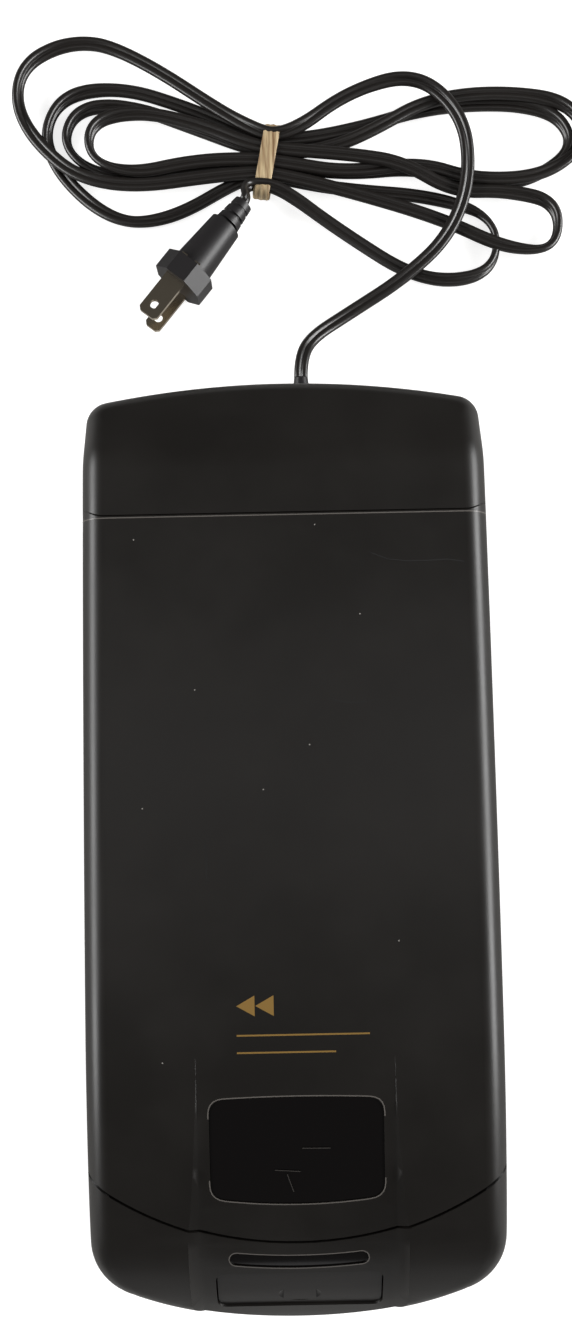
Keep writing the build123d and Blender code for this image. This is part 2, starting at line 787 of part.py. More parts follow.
def bowed_strip(x):
    """A flat steel strip held at its middle, with both ends bowed down and turned up."""
    half = strip_length / 2
    flat = 4.0
    mid_z = strip_top - strip_thick / 2
    with BuildPart() as strip:
        with BuildSketch(Plane.YZ.offset(x - strip_width / 2)):
            with BuildLine():
                Line((spring_y - flat, mid_z), (spring_y + flat, mid_z))
                for side in (-1, 1):
                    ThreePointArc(
                        (spring_y + side * flat, mid_z),
                        (spring_y + side * (half + flat) / 2, mid_z - strip_sag * 0.75),
                        (spring_y + side * half, mid_z - strip_sag),
                    )
            trace(line_width=strip_thick)
        extrude(amount=strip_width)
        with Locations((x, spring_y, strip_top)):
            Cylinder(1.25, 4, mode=Mode.SUBTRACT)
    return strip.part


strips = [bowed_strip(x) for x in (-spring_x, spring_x)]
save(Compound(strips), "hold_down_springs")
rivets = []
for x in (-spring_x, spring_x):
    rivet = pillar(x, spring_y, strip_top - strip_thick, roof_in_z - 0.2, 2.4)
    rivets.append(rivet + pillar(x, spring_y, strip_top - strip_thick - 1.2, strip_top - strip_thick, 5.0))
save(Compound(rivets), "spring_rivets")

# ---- Spindles, bushes, clip --------------------------------------------------------------------
shaft_radius = shaft_diameter / 2
for y, name in ((drive_y, "drive_bush"), (idler_y, "idler_bush")):
    bush = pillar(spindle_x, y, bush_bottom, bush_top, bush_diameter)
    bush = bush - pillar(spindle_x, y, 0, hidden, shaft_diameter + 2 * running_clearance)
    save(bush, name)

hub_low = bush_top + 0.3
fin_top = deck_floor + 10.0


def spindle(y, shaft_low):
    """A reel spindle: disc, finned post with a rounded top, and its shaft."""
    body = pillar(spindle_x, y, shaft_low, hub_low, shaft_diameter)
    body = body + pillar(spindle_x, y, hub_low, hub_low + hub_disc_height, hub_disc_diameter)
    body = body + pillar(spindle_x, y, hub_low, deck_floor + hub_post_height, hub_post_diameter)
    body = body + Pos(spindle_x, y, deck_floor + hub_post_height) * Sphere(hub_post_diameter / 2)
    fin = Pos(hub_fin_reach / 2, 0, (hub_low + fin_top) / 2) * Box(hub_fin_reach, 1.6, fin_top - hub_low)
    for k in range(hub_fins):
        body = body + Pos(spindle_x, y, 0) * Rot(0, 0, 360 / hub_fins * k) * fin
    return body


pulley_z = (belt_height - pulley_width / 2, belt_height + pulley_width / 2)
drive_shaft_low = pulley_z[0] - 1.0
save(spindle(drive_y, drive_shaft_low), "drive_spindle")
clip_z = bush_bottom - 1.1
save(spindle(idler_y, clip_z - 1.5), "idler_spindle")
clip = pillar(spindle_x, idler_y, clip_z, clip_z + 0.8, 8.0)
clip = clip - pillar(spindle_x, idler_y, 0, hidden, shaft_diameter)
save(clip, "idler_clip")


def grooved(x, y, diameter, low, high):
    """A pulley rim with a square groove for the belt."""
    body = pillar(x, y, low, high, diameter)
    groove = pillar(x, y, belt_height - 1.1, belt_height + 1.1, diameter + 2)
    groove = groove - pillar(x, y, 0, hidden, diameter - 2 * groove_depth)
    return body - groove


big_pulley = grooved(spindle_x, drive_y, pulley_diameter, *pulley_z)
big_pulley = big_pulley + pillar(spindle_x, drive_y, pulley_z[1], bush_bottom - 0.3, 11.0)
big_pulley = big_pulley - pillar(spindle_x, drive_y, 0, hidden, shaft_diameter)
save(big_pulley, "drive_pulley")

# ---- Motor, belt -------------------------------------------------------------------------------
rotor_diameter = 2.0
plate_thickness = 1.2
motor = pillar(motor_x, motor_y, motor_bottom, motor_top, motor_diameter)
motor = motor + pillar(motor_x, motor_y, motor_bottom - 1.6, motor_bottom, 6.0)
motor = motor - pillar(motor_x, motor_y, 0, motor_bottom + 3, rotor_diameter + 0.2)
save(motor, "drive_motor")
plate_angle = degrees(atan2(side_way[1], side_way[0]))
with BuildPart() as motor_plate:
    with BuildSketch(Plane.XY.offset(motor_bottom - plate_thickness)):
        with Locations(Location((motor_x, motor_y, 0), (0, 0, plate_angle))):
            SlotCenterToCenter(2 * motor_screw_reach, 8.0)
            Circle(12.0)
            Circle(3.2, mode=Mode.SUBTRACT)
            with Locations((-motor_screw_reach, 0), (motor_screw_reach, 0)):
                Circle(1.6, mode=Mode.SUBTRACT)
    extrude(amount=plate_thickness)
save(motor_plate.part, "motor_plate")
motor_screws = [screw(x, y, motor_bottom - plate_thickness, 8.0) for x, y in motor_spots]
rotor = pillar(motor_x, motor_y, pulley_z[0] - 0.5, motor_bottom + 2.5, rotor_diameter)
small_pulley = grooved(motor_x, motor_y, motor_pulley_diameter, *pulley_z)
save(small_pulley + rotor, "motor_pulley")

run_small = motor_pulley_diameter / 2 - groove_depth + belt_gap
run_big = pulley_diameter / 2 - groove_depth + belt_gap


def belt_hull(extra):
    """The area inside the belt's run round both pulleys, grown by extra."""
    with BuildSketch(Plane.XY.offset(belt_height - belt_size / 2)) as area:
        with Locations((motor_x, motor_y)):
            Circle(run_small + extra)
        with Locations((spindle_x, drive_y)):
            Circle(run_big + extra)
        make_hull()
    return area.sketch


with BuildPart() as belt:
    add(extrude(belt_hull(belt_size), amount=belt_size))
    add(extrude(belt_hull(0), amount=belt_size), mode=Mode.SUBTRACT)
save(belt.part, "drive_belt")

# ---- Brake release pin -------------------------------------------------------------------------
brake = pillar(spindle_x, well_centre_y, deck_floor, deck_floor + 13, 4.0)
brake = brake + pillar(spindle_x, well_centre_y, deck_floor, deck_floor + 1.2, 9.0)
save(brake, "brake_release_pin")

# ---- Circuit board -----------------------------------------------------------------------------
board = Pos(board_centre[0], board_centre[1], board_z + board_size[2] / 2) * Box(*board_size)
for x, y in board_spots:
    board = board - pillar(x, y, 0, hidden, 3.2)
save(board, "circuit_board")
board_top = board_z + board_size[2]
capacitor = pillar(board_centre[0] - 20, board_centre[1] + 8, board_top, board_top + 14, 10.0)
save(capacitor, "board_capacitor")
diodes = []
for k in range(4):
    spot = (board_centre[0] - 18 + 6 * k, board_centre[1] - 8)
    lead = Pos(spot[0], spot[1], board_top + 1.4) * Rot(90, 0, 0) * Cylinder(0.4, 9)
    bead = Pos(spot[0], spot[1], board_top + 1.4) * Rot(90, 0, 0) * Cylinder(1.4, 5)
    diodes.append(lead + bead)
save(Compound(diodes), "board_diodes")

# ---- Transformer -------------------------------------------------------------------------------
core_z = floor_top
core_low = (core_centre[0], core_centre[1], core_z + core_size[2] / 2)
window_size = (8.0, 24.0)
leg = (core_size[0] - 2 * window_size[0]) / 4
core = Pos(*core_low) * Box(*core_size)
for side in (-1, 1):
    window_x = core_centre[0] + side * (leg + window_size[0] / 2)
    core = core - Pos(window_x, core_centre[1], core_low[2]) * Box(window_size[0], hidden, window_size[1])
save(core, "transformer_core")
coil_gap = 0.5
coil_overhang = 5.5
coil = Pos(*core_low) * Box(
    2 * leg + 2 * window_size[0] - coil_gap,
    core_size[1] + 2 * coil_overhang,
    window_size[1] - coil_gap,
)
coil = coil - Pos(*core_low) * Box(2 * leg, core_size[1], hidden)
save(coil, "transformer_coil")
strap_top = core_z + core_size[2]
strap_width = 10.0
strap = block(
    (core_centre[0] - strap_half, core_centre[0] + strap_half),
    (core_centre[1] - strap_width / 2, core_centre[1] + strap_width / 2),
    (strap_boss_z, strap_top + strap_thickness),
)
strap = strap + block(
    (core_centre[0] - strap_half - strap_foot, core_centre[0] + strap_half + strap_foot),
    (core_centre[1] - strap_width / 2, core_centre[1] + strap_width / 2),
    (strap_boss_z, strap_boss_z + strap_thickness),
)
strap = strap - Pos(*core_low) * Box(core_size[0], hidden, core_size[2])
for x, y in strap_spots:
    strap = strap - pillar(x, y, 0, strap_boss_z + 2, 3.2)
save(strap, "transformer_strap")

small_screws = []
spots = [(x, y, strap_boss_z + strap_thickness) for x, y in strap_spots]
spots += [(x, y, board_top) for x, y in board_spots]
for x, y, z in spots:
    shank_low = max(floor_top + 0.3, z - 5.0)
    shank = 2.6 if z < board_top - 1 else 2.0
    small_screws.append(pillar(x, y, shank_low, z, shank) + pillar(x, y, z, z + 1.6, 4.8))
save(Compound(small_screws), "small_screws")
save(Compound(motor_screws), "motor_screws")

# ---- Lid switch --------------------------------------------------------------------------------
switch_body_z = (deck_flange_z + deck_thickness, deck_flange_z + deck_thickness + 9.8)
switch_x_range = (-34.0, -15.0)
switch = block(switch_x_range, (switch_y - 3, switch_y + 3), switch_body_z)
pivot_x = switch_x_range[0] + 1.6
pivot_z = switch_body_z[1] + 1.2
for side in (-1, 1):
    cheek_y = sorted((switch_y + side * 3, switch_y + side * 2))
    cheek = block((pivot_x - 1.6, pivot_x + 1.6), cheek_y, (switch_body_z[1] - 0.5, pivot_z + 1.4))
    switch = switch + cheek
stub_radius = 0.6
rod_y = Rot(90, 0, 0)
switch = switch - Pos(pivot_x, switch_y, pivot_z) * rod_y * Cylinder(stub_radius + running_clearance, 8)
save(switch, "lid_switch")
lever = Pos(pivot_x, switch_y, pivot_z) * rod_y * Cylinder(0.8, 3.4)
lever = lever + Pos(pivot_x, switch_y, pivot_z) * rod_y * Cylinder(stub_radius, 5.8)
lever = lever + block((pivot_x, switch_x_range[1]), (switch_y - 1.7, switch_y + 1.7), (pivot_z, pivot_z + 0.5))
save(lever, "switch_lever")

# ---- Mains lead: grommet, free stretch, hank ---------------------------------------------------
grommet_end = rear_y + 16.0
with BuildPart() as cord_grommet:
    with BuildSketch(Plane.XY) as half_section:
        with BuildLine():
            Polyline(
                (0, rear_y - 5.0),
                (5.3, rear_y - 5.0),
                (5.3, rear_y - wall - 0.4),
                (grommet_hole / 2, rear_y - wall - 0.4),
                (grommet_hole / 2, rear_y),
                (5.6, rear_y),
                (5.6, rear_y + 1.5),
                (4.1, rear_y + 2.5),
                (2.5, grommet_end),
                (0, grommet_end),
                (0, rear_y - 5.0),
            )
        make_face()
    revolve(axis=Axis.Y, revolution_arc=360)
    for k in range(4):
        with Locations(Location((0, rear_y + 4.6 + 2.8 * k, 0), (90, 0, 0))):
            Cylinder(6.0, 0.9, mode=Mode.SUBTRACT)
            Cylinder(2.4 - 0.15 * k, 0.9)
save(Pos(exit_x, 0, exit_z) * cord_grommet.part, "cord_grommet")

# Heights of the hank's runs above the table, by layer.
low = cord_low
high = cord_high
over = cord_over

# Passes through the tie, right to left first: column across the waist, and layer.
passes = [
    (1, high),
    (4, high),
    (2, high),
    (3, high),
    (2, low),
    (3, low),
    (1, low),
    (4, low),
    (5, high),
]
# Corners of each lobe: along the waist to the right, across it away from the casing, height.
left_lobes = [
    [(-58, 37.5, high), (-80, 38, high), (-97, 24, high), (-93, 2, high), (-62, -19.5, high)],
    [
        (-27, 11.5, high),
        (-50, 14, high),
        (-67, 7, high),
        (-66, -7, high),
        (-50, -11, high),
        (-28, -3, high),
    ],
    [(-28, 11, low), (-54, 17.5, low), (-74, 13, low), (-77, -3, low), (-60, -12.5, low), (-34, -6.5, low)],
    [(-30, 18.5, low), (-60, 24.5, low), (-82, 16, low), (-84, -6, low), (-56, -29, low), (-34, -26, low)],
]
right_lobes = [
    [
        (30, -7.5, high),
        (66, -14, high),
        (92, -23, high),
        (110, -21, low + 1.5),
        (109, -3, low + 1.5),
        (90, -0.5, high),
        (70, -3.5, high),
        (50, 4, over + 0.3),
        (32, 5.5, over - 1),
    ],
    [
        (30, -0.7, high),
        (56, 6.5, high),
        (78, 2, high),
        (104, 7, high),
        (119, 23, high),
        (104, 39, high),
        (60, 34, high),
        (34, 14, high),
        (20, 8, low + 1.5),
    ],
    [
        (30, 0.2, low),
        (56, 6, low),
        (77, 1.5, low),
        (100, 6, low),
        (114, 22, low),
        (100, 36, low),
        (60, 31, low),
        (30, 17.5, low),
    ],
    [(28, -6, low), (66, -4.5, low), (88, -12, low), (88, -33, low), (62, -38, low), (30, -22, low)],
]
# Corners of the free stretch, in the machine's own frame.
lead_corners = [
    (exit_x, grommet_end, exit_z),
    (exit_x, grommet_end + 7.0, exit_z),
    (11, rear_y + 33, 4.6),
    (25, rear_y + 43, low + 0.2),
    (46, rear_y + 55, high + 0.6),
    (63, rear_y + 70, over),
    (71, rear_y + 92, over + 0.2),
    (69, rear_y + 116, over + 0.2),
    (52, rear_y + 132, over),
    (27, rear_y + 126, high + 3),
]


def hank_point(along, across, height):
    """From the hank's own axes to the machine's frame."""
    c = cos(radians(hank_angle))
    s = sin(radians(hank_angle))
    return (
        hank_centre[0] + along * c - across * s,
        hank_centre[1] + along * s + across * c,
        height,
    )


def waist_point(end, number):
    """Where pass number meets the right (1) or left (-1) end of the straight waist."""
    column, height = passes[number]
    return (end * waist_straight, (3 - column) * waist_pitch, height + waist_lift)


def hank_corners():
    """All corners of the tied part: nine passes with four lobes on either side."""
    corners = []
    for number in range(len(passes)):
        leftward = number % 2 == 0
        first = 1 if leftward else -1
        corners.append(waist_point(first, number))
        if number == len(passes) - 1:
            last = waist_point(-1, number)
            corners.append((last[0] + 0.3, last[1], last[2]))
        else:
            corners.append(waist_point(-first, number))
            lobes = left_lobes if leftward else right_lobes
            corners += lobes[number // 2]
    tail_way = radians(plug_angle - hank_angle)
    corners.append((plug_tail[0], plug_tail[1], plug_height))
    corners.append(
        (
            plug_tail[0] + plug_straight * cos(tail_way),
            plug_tail[1] + plug_straight * sin(tail_way),
            plug_height,
        )
    )
    return [hank_point(*corner) for corner in corners]


def bend_radii(corners):
    """The largest neat radius at each inner corner, capped."""
    radii = []
    for before, corner, after in zip(corners, corners[1:], corners[2:]):
        arrive = Vector(*corner) - Vector(*before)
        leave = Vector(*after) - Vector(*corner)
        half_turn = radians(arrive.get_angle(leave)) / 2
        shorter = min(arrive.length, leave.length)
        radii.append(min(0.45 * shorter / tan(half_turn), 60.0))
    return radii


def cord_tube(corners):
    """One unbroken round tube of straight runs and tangent arcs through the corners."""
    radii = bend_radii(corners)
    with BuildPart() as tube:
        with BuildLine() as run:
            FilletPolyline(*corners, radius=radii)
        path = run.wires()[0]
        with BuildSketch(Plane(origin=path @ 0, z_dir=path % 0)):
            Circle(cord_radius)
        sweep(path=path)
    return tube.part, path, radii


tied = hank_corners()
split = tuple((a + b) / 2 for a, b in zip(lead_corners[-1], tied[0]))
lead_tube, lead_path, lead_radii = cord_tube(lead_corners + [split])
hank_tube, hank_path, hank_radii = cord_tube([split] + tied)
save(lead_tube, "cord_lead")
save(hank_tube, "cord_hank")


def least_gap(paths, step=1.0, skip=14.0):
    """Least clear distance of the cord to itself, measured on points along its centre line."""
    points = []
    run_length = 0.0
    for path in paths:
        count = int(path.length / step)
        for k in range(count + 1):
            spot = path @ (k / count)
            points.append((spot.X, spot.Y, spot.Z, run_length + path.length * k / count))
        run_length += path.length
    least = hidden
    for i, p in enumerate(points):
        for q in points[i + 1 :]:
            if q[3] - p[3] > skip and abs(q[0] - p[0]) < 6 and abs(q[1] - p[1]) < 6:
                apart = hypot(q[0] - p[0], q[1] - p[1], q[2] - p[2])
                least = min(least, apart)
    return least - cord_diameter


section = pi * cord_radius**2
for name, tube, path, radii in (
    ("lead", lead_tube, lead_path, lead_radii),
    ("hank", hank_tube, hank_path, hank_radii),
):
    print(name, "length", round(path.length, 1), "radii", [round(r, 1) for r in radii])
    print(name, "volume", round(tube.volume, 1), "section x length", round(section * path.length, 1))
print("least gap of the cord to itself", round(least_gap((lead_path, hank_path)), 2))
print("cord length outside the casing", round(lead_path.length + hank_path.length, 1))

# ---- Tie and plug ------------------------------------------------------------------------------
tie_half = 2 * waist_pitch + cord_radius + tie_slack
tie_low = cord_low + waist_lift - cord_radius - 0.05
tie_high = cord_high + waist_lift + cord_radius + 0.15
tie_centre = hank_point(0, 0, (tie_low + tie_high) / 2)
with BuildPart() as hank_tie:
    with BuildSketch(Plane.YZ.offset(-tie_width / 2)):
        RectangleRounded(
            2 * (tie_half + tie_thickness), tie_high - tie_low + 2 * tie_thickness, 2.6
        )
        RectangleRounded(2 * tie_half, tie_high - tie_low, 1.7, mode=Mode.SUBTRACT)
    extrude(amount=tie_width)
save(Pos(*tie_centre) * Rot(0, 0, hank_angle) * hank_tie.part, "hank_tie")

plug_start = tied[-1]
plug_frame = Pos(*plug_start) * Rot(0, 0, plug_angle) * Rot(0, 90, 0)
relief_low = 7.0
relief_high = 9.6
with BuildPart() as plug:
    with BuildSketch(Plane.XY) as relief_foot:
        Circle(relief_low / 2)
    with BuildSketch(Plane.XY.offset(relief_length)) as relief_head:
        Circle(relief_high / 2)
    loft(sections=[relief_foot.sketch, relief_head.sketch])
    for k in range(3):
        height = 2.6 + 2.9 * k
        with Locations((0, 0, height)):
            Cylinder(8.0, 1.0, mode=Mode.SUBTRACT)
            Cylinder(2.7 + 0.25 * k, 1.0)
    with BuildSketch(Plane.XY.offset(relief_length)) as barrel_foot:
        Circle(barrel_diameter / 2 - 0.8)
    with BuildSketch(Plane.XY.offset(relief_length + barrel_length)) as barrel_head:
        Circle(barrel_diameter / 2 + 0.6)
    loft(sections=[barrel_foot.sketch, barrel_head.sketch])
    with BuildSketch(Plane.XY.offset(relief_length + barrel_length)):
        RegularPolygon(flange_width / 2, 8, major_radius=False, rotation=22.5)
    extrude(amount=flange_length)
plug_body = plug.part
blade_root = relief_length + barrel_length + flange_length
blade_depth = 9.0
blades = []
for side, blade_width in zip((1, -1), blade_widths):
    blade_x = -side * blade_pitch / 2
    blade_low = blade_root - blade_depth
    blade_z = (blade_low + blade_root + blade_length) / 2
    blade = Pos(blade_x, 0, blade_z) * Box(blade_thickness, blade_width, blade_depth + blade_length)
    tip = blade.edges().group_by(Axis.Z)[-1].filter_by(Axis.X)
    blade = chamfer(tip, 1.2)
    plug_body = plug_body - Pos(blade_x, 0, blade_z) * Box(
        blade_thickness, blade_width, blade_depth + blade_length
    )
    hole = Pos(blade_x, 0, blade_root + blade_length - 4.6) * Rot(0, 90, 0) * Cylinder(1.6, 4)
    blades.append(blade - hole)
save(plug_frame * plug_body, "plug_body")
save(Compound([plug_frame * blade for blade in blades]), "plug_blades")
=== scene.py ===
"""Table-top rewinder for video cassettes: finishes, printed marks, mains lead, table and light."""

import math

import bmesh
import bpy
import numpy as np
from mathutils import Matrix, Vector


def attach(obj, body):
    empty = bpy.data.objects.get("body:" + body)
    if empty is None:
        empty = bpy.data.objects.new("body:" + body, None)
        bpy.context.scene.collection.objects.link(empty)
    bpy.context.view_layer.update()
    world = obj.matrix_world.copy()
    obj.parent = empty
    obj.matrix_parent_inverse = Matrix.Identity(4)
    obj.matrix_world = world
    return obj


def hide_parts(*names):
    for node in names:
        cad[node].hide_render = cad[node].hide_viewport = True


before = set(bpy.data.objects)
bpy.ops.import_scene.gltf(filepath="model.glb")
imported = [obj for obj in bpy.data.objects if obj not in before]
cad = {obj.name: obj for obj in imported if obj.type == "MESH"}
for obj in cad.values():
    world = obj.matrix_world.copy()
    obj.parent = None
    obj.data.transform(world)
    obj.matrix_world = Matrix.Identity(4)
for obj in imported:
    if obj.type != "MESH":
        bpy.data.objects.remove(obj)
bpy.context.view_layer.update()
mm = 0.001


# ---- Node and mesh helpers -------------------------------------------------------------------
def linear(code):
    """Linear colour of an sRGB hex code."""
    channels = [int(code[i : i + 2], 16) / 255 for i in (1, 3, 5)]
    return [c / 12.92 if c <= 0.04045 else ((c + 0.055) / 1.055) ** 2.4 for c in channels] + [1.0]


def add_node(tree, kind, inputs=(), **settings):
    """Adds a node, sets its options, then sets or links its inputs by name or number."""
    node = tree.nodes.new(kind)
    for option, value in settings.items():
        setattr(node, option, value)
    for socket, value in dict(inputs).items():
        if isinstance(value, bpy.types.NodeSocket):
            tree.links.new(value, node.inputs[socket])
        else:
            node.inputs[socket].default_value = value
    return node


def start_finish(name, colour, **constants):
    """A new material with its colour and plain numbers set on the shader's own sockets."""
    finish = bpy.data.materials.new(name)
    finish.use_nodes = True
    tree = finish.node_tree
    shader = tree.nodes["Principled BSDF"]
    shader.inputs["Base Color"].default_value = linear(colour)
    for socket, value in constants.items():
        shader.inputs[socket.replace("_", " ")].default_value = value
    return finish, tree, shader


def grain_bump(tree, shader, size, height):
    """Fine relief of the given grain size and height, both in metres. Gives its coordinates back."""
    place = add_node(tree, "ShaderNodeTexCoord")
    noise = add_node(
        tree,
        "ShaderNodeTexNoise",
        {"Vector": place.outputs["Object"], "Scale": 1 / size, "Detail": 2.0},
    )
    bump = add_node(
        tree,
        "ShaderNodeBump",
        {"Height": noise.outputs["Fac"], "Distance": height, "Strength": 1.0},
    )
    tree.links.new(bump.outputs["Normal"], shader.inputs["Normal"])
    return place


def dress(finish, *names):
    """Gives CAD nodes this finish."""
    for name in names:
        mesh = cad[name].data
        mesh.materials.clear()
        mesh.materials.append(finish)


def new_piece(name, points, faces, finish, body="casing", smooth=True):
    """A mesh piece from its points and faces, riding on a body."""
    mesh = bpy.data.meshes.new(name)
    mesh.from_pydata([tuple(p) for p in points], [], faces)
    mesh.materials.append(finish)
    mesh.polygons.foreach_set("use_smooth", [smooth] * len(mesh.polygons))
    mesh.update()
    piece = bpy.data.objects.new(name, mesh)
    bpy.context.scene.collection.objects.link(piece)
    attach(piece, body)
    return piece


# ---- Casing skins --------------------------------------------------------------------------------
# The roof line in side view, as the casing is built: crown, fall and nose arcs, in millimetres.
half_width = 62.5
edge_radius = 7.5
inner_edge_radius = 5.0
straight_reach = 112.0
lid_edge_ends = (-95, 97)
weld_distance = 0.002
sharp_from = math.radians(38)
rear_y = 146.5
front_y = -146.5
roof_top = 70.0
crease = Vector((rear_y - 26.3, roof_top - 1.4))
crown_front = Vector((front_y + 95.0, roof_top - 1.0))
nose_top = Vector((front_y + 33.0, roof_top - 7.8))
nose_end = Vector((front_y - 5.0, roof_top - 36.0))


def turned(way):
    """The same way turned by a quarter."""
    return Vector((-way.y, way.x))


def arc_through(first, second, third):
    """Centre of the circle through three points."""
    rows = [list(second - first), list(third - second)]
    sums = [(second - first).dot(second + first) / 2, (third - second).dot(third + second) / 2]
    return Vector(np.linalg.solve(rows, sums))


def arc_onward(start, way, end):
    """Centre of the arc that leaves start along way and meets end."""
    chord = end - start
    return start + turned(way) * (chord.length_squared / (2 * chord.dot(turned(way))))


crown = arc_through(crease, Vector(((crease.x + crown_front.x) / 2, roof_top)), crown_front)
fall = arc_onward(crown_front, turned(crown_front - crown).normalized(), nose_top)
nose = arc_onward(nose_top, turned(nose_top - fall).normalized(), nose_end)
roof_arcs = (
    (crown_front.x, crown, (crease - crown).length),
    (nose_top.x, fall, (nose_top - fall).length),
    (-math.inf, nose, (nose_end - nose).length),
)


def roof_at(spot):
    """Way out of the roof in side view at a spot, its depth below the roof, and the arc."""
    for start, centre, radius in roof_arcs:
        if spot.y > start:
            spoke = Vector((spot.y, spot.z)) - centre
            return spoke.normalized(), radius - spoke.length, centre, radius


def on_round(spot):
    """How the rounded long edge faces at a spot on it, or None away from it."""
    out, depth, centre, radius = roof_at(spot)
    across = Vector((abs(spot.x) - half_width + edge_radius, edge_radius - depth))
    within = inner_edge_radius + 0.3 < across.length < edge_radius + 0.1
    if min(across) < -0.02 or not within:
        return None
    across.normalize()
    return Vector((math.copysign(across.x, spot.x), across.y * out.x, across.y * out.y))


def round_spot(side, turn, y):
    """The place on a rounded long edge at this turn from level, this far along."""
    across = edge_radius * math.sin(turn) - edge_radius
    centre, radius = roof_at(Vector((0, y, roof_top)))[2:]
    height = centre.y + math.sqrt((radius + across) ** 2 - (y - centre.x) ** 2)
    return Vector((side * (half_width - edge_radius + edge_radius * math.cos(turn)), y, height))


def rounded_strip(form, side, ends, steps=14):
    """A clean grid over one rounded long edge between two places along the machine."""
    stations = np.linspace(ends[0], ends[1], int((ends[1] - ends[0]) / 4))
    turns = np.linspace(0, math.pi / 2, steps)
    grid = [[form.verts.new(round_spot(side, turn, y)) for turn in turns] for y in stations]
    for near, far in zip(grid, grid[1:]):
        for k in range(steps - 1):
            quad = (near[k], near[k + 1], far[k + 1], far[k])
            form.faces.new(quad[::-1] if side > 0 else quad)


def even_long_edges(form, ends):
    """Replaces the long slivers of the rounded edges between two ends by clean grids."""
    for cut in ends:
        geom = form.verts[:] + form.edges[:] + form.faces[:]
        bmesh.ops.bisect_plane(
            form, geom=geom, plane_co=(0, cut, 0), plane_no=(0, 1, 0), dist=0.01
        )
    old = []
    for face in form.faces:
        spot = face.calc_center_median()
        if ends[0] < spot.y < ends[1] and on_round(spot):
            old.append(face)
    bmesh.ops.delete(form, geom=old, context="FACES")
    for side in (-1, 1):
        rounded_strip(form, side, ends)


def shade_exactly(mesh):
    """Corner normals from the drawn shape on rounded edges, roof and side walls."""
    for layer in ("custom_normal", "sharp_edge", "sharp_face"):
        if layer in mesh.attributes:
            mesh.attributes.remove(mesh.attributes[layer])
    mesh.polygons.foreach_set("use_smooth", [True] * len(mesh.polygons))
    mesh.set_sharp_from_angle(angle=sharp_from)
    normals = [corner.vector.copy() for corner in mesh.corner_normals]
    for face in mesh.polygons:
        along = -straight_reach < face.center.y < straight_reach
        depth = roof_at(face.center)[1]
        rounded = along and on_round(face.center)
        for corner in face.loop_indices:
            spot = mesh.vertices[mesh.loops[corner].vertex_index].co
            if rounded:
                normals[corner] = on_round(spot) or normals[corner]
            elif along and abs(depth) < 0.05 and face.normal.z > 0.8:
                out = roof_at(spot)[0]
                normals[corner] = Vector((0, out.x, out.y))
            elif abs(face.normal.x) > 0.9999:
                normals[corner] = face.normal.copy()
    mesh.normals_split_custom_set(normals)


def casing_skin(name, body, ends=None):
    """A welded copy of a casing piece with exact shading, and even long edges between two ends."""
    source = cad[name]
    form = bmesh.new()
    form.from_mesh(source.data)
    form.transform(Matrix.Scale(1 / mm, 4) @ source.matrix_world)
    bmesh.ops.remove_doubles(form, verts=form.verts, dist=weld_distance)
    if ends:
        even_long_edges(form, ends)
    mesh = bpy.data.meshes.new(name + "_skin")
    form.to_mesh(mesh)
    form.free()
    shade_exactly(mesh)
    mesh.transform(Matrix.Scale(mm, 4))
    piece = bpy.data.objects.new(name + "_skin", mesh)
    bpy.context.scene.collection.objects.link(piece)
    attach(piece, body)
    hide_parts(name)
    return piece


# ---- Finishes ----------------------------------------------------------------------------------
# Charcoal high-impact polystyrene from a spark-eroded mould: an even satin with a fine grain,
# and a faint cloudy film of dust and handling that lifts the flats a little.
def moulded_polystyrene(name, colour, roughness, film):
    """Casing plastic of this colour and roughness, with this much dusty film at its thickest."""
    finish, tree, shader = start_finish(name, colour, IOR=1.5, Specular_IOR_Level=0.42)
    place = grain_bump(tree, shader, size=0.45 * mm, height=0.012 * mm)
    clouds = add_node(
        tree,
        "ShaderNodeTexNoise",
        {"Vector": place.outputs["Object"], "Scale": 1 / (28 * mm), "Detail": 5.0},
    )
    spread = add_node(
        tree,
        "ShaderNodeMapRange",
        {
            "Value": clouds.outputs["Fac"],
            "From Min": 0.35,
            "From Max": 0.7,
            "To Min": roughness - 0.02,
            "To Max": roughness + 0.03,
        },
    )
    tree.links.new(spread.outputs["Result"], shader.inputs["Roughness"])
    dusty = add_node(
        tree,
        "ShaderNodeMapRange",
        {"Value": clouds.outputs["Fac"], "From Min": 0.4, "From Max": 0.75, "To Max": film},
    )
    tint = add_node(
        tree,
        "ShaderNodeMix",
        {"Factor": dusty.outputs["Result"], "A": linear(colour), "B": linear("#6b6660")},
        data_type="RGBA",
    )
    tree.links.new(tint.outputs["Result"], shader.inputs["Base Color"])
    return finish


shell_plastic = moulded_polystyrene("satin_charcoal_polystyrene", "#171513", 0.36, 0.02)
button_plastic = moulded_polystyrene("fine_satin_charcoal_polystyrene", "#181615", 0.32, 0.02)

# Black polystyrene of the inner mouldings: duller, never handled.
inner_plastic, tree, shader = start_finish(
    "matt_black_polystyrene", "#141414", Roughness=0.55, IOR=1.5
)
grain_bump(tree, shader, size=0.6 * mm, height=0.01 * mm)

# Smoked acrylic, polished: nearly black, with a sharp reflection.
smoked_acrylic, tree, shader = start_finish("smoked_acrylic", "#0b0909", Roughness=0.09, IOR=1.49)

# Neoprene of feet and drive belt: dull, slightly grey.
neoprene, tree, shader = start_finish("neoprene_rubber", "#232323", Roughness=0.75)
grain_bump(tree, shader, size=0.5 * mm, height=0.02 * mm)

# Acetal resin of the moving parts, as moulded: milky white, waxy.
acetal, tree, shader = start_finish(
    "natural_acetal", "#d9d6cc", Roughness=0.38, IOR=1.48, Subsurface_Weight=0.15
)
shader.inputs["Subsurface Radius"].default_value = (1.5 * mm, 1.3 * mm, 1.1 * mm)

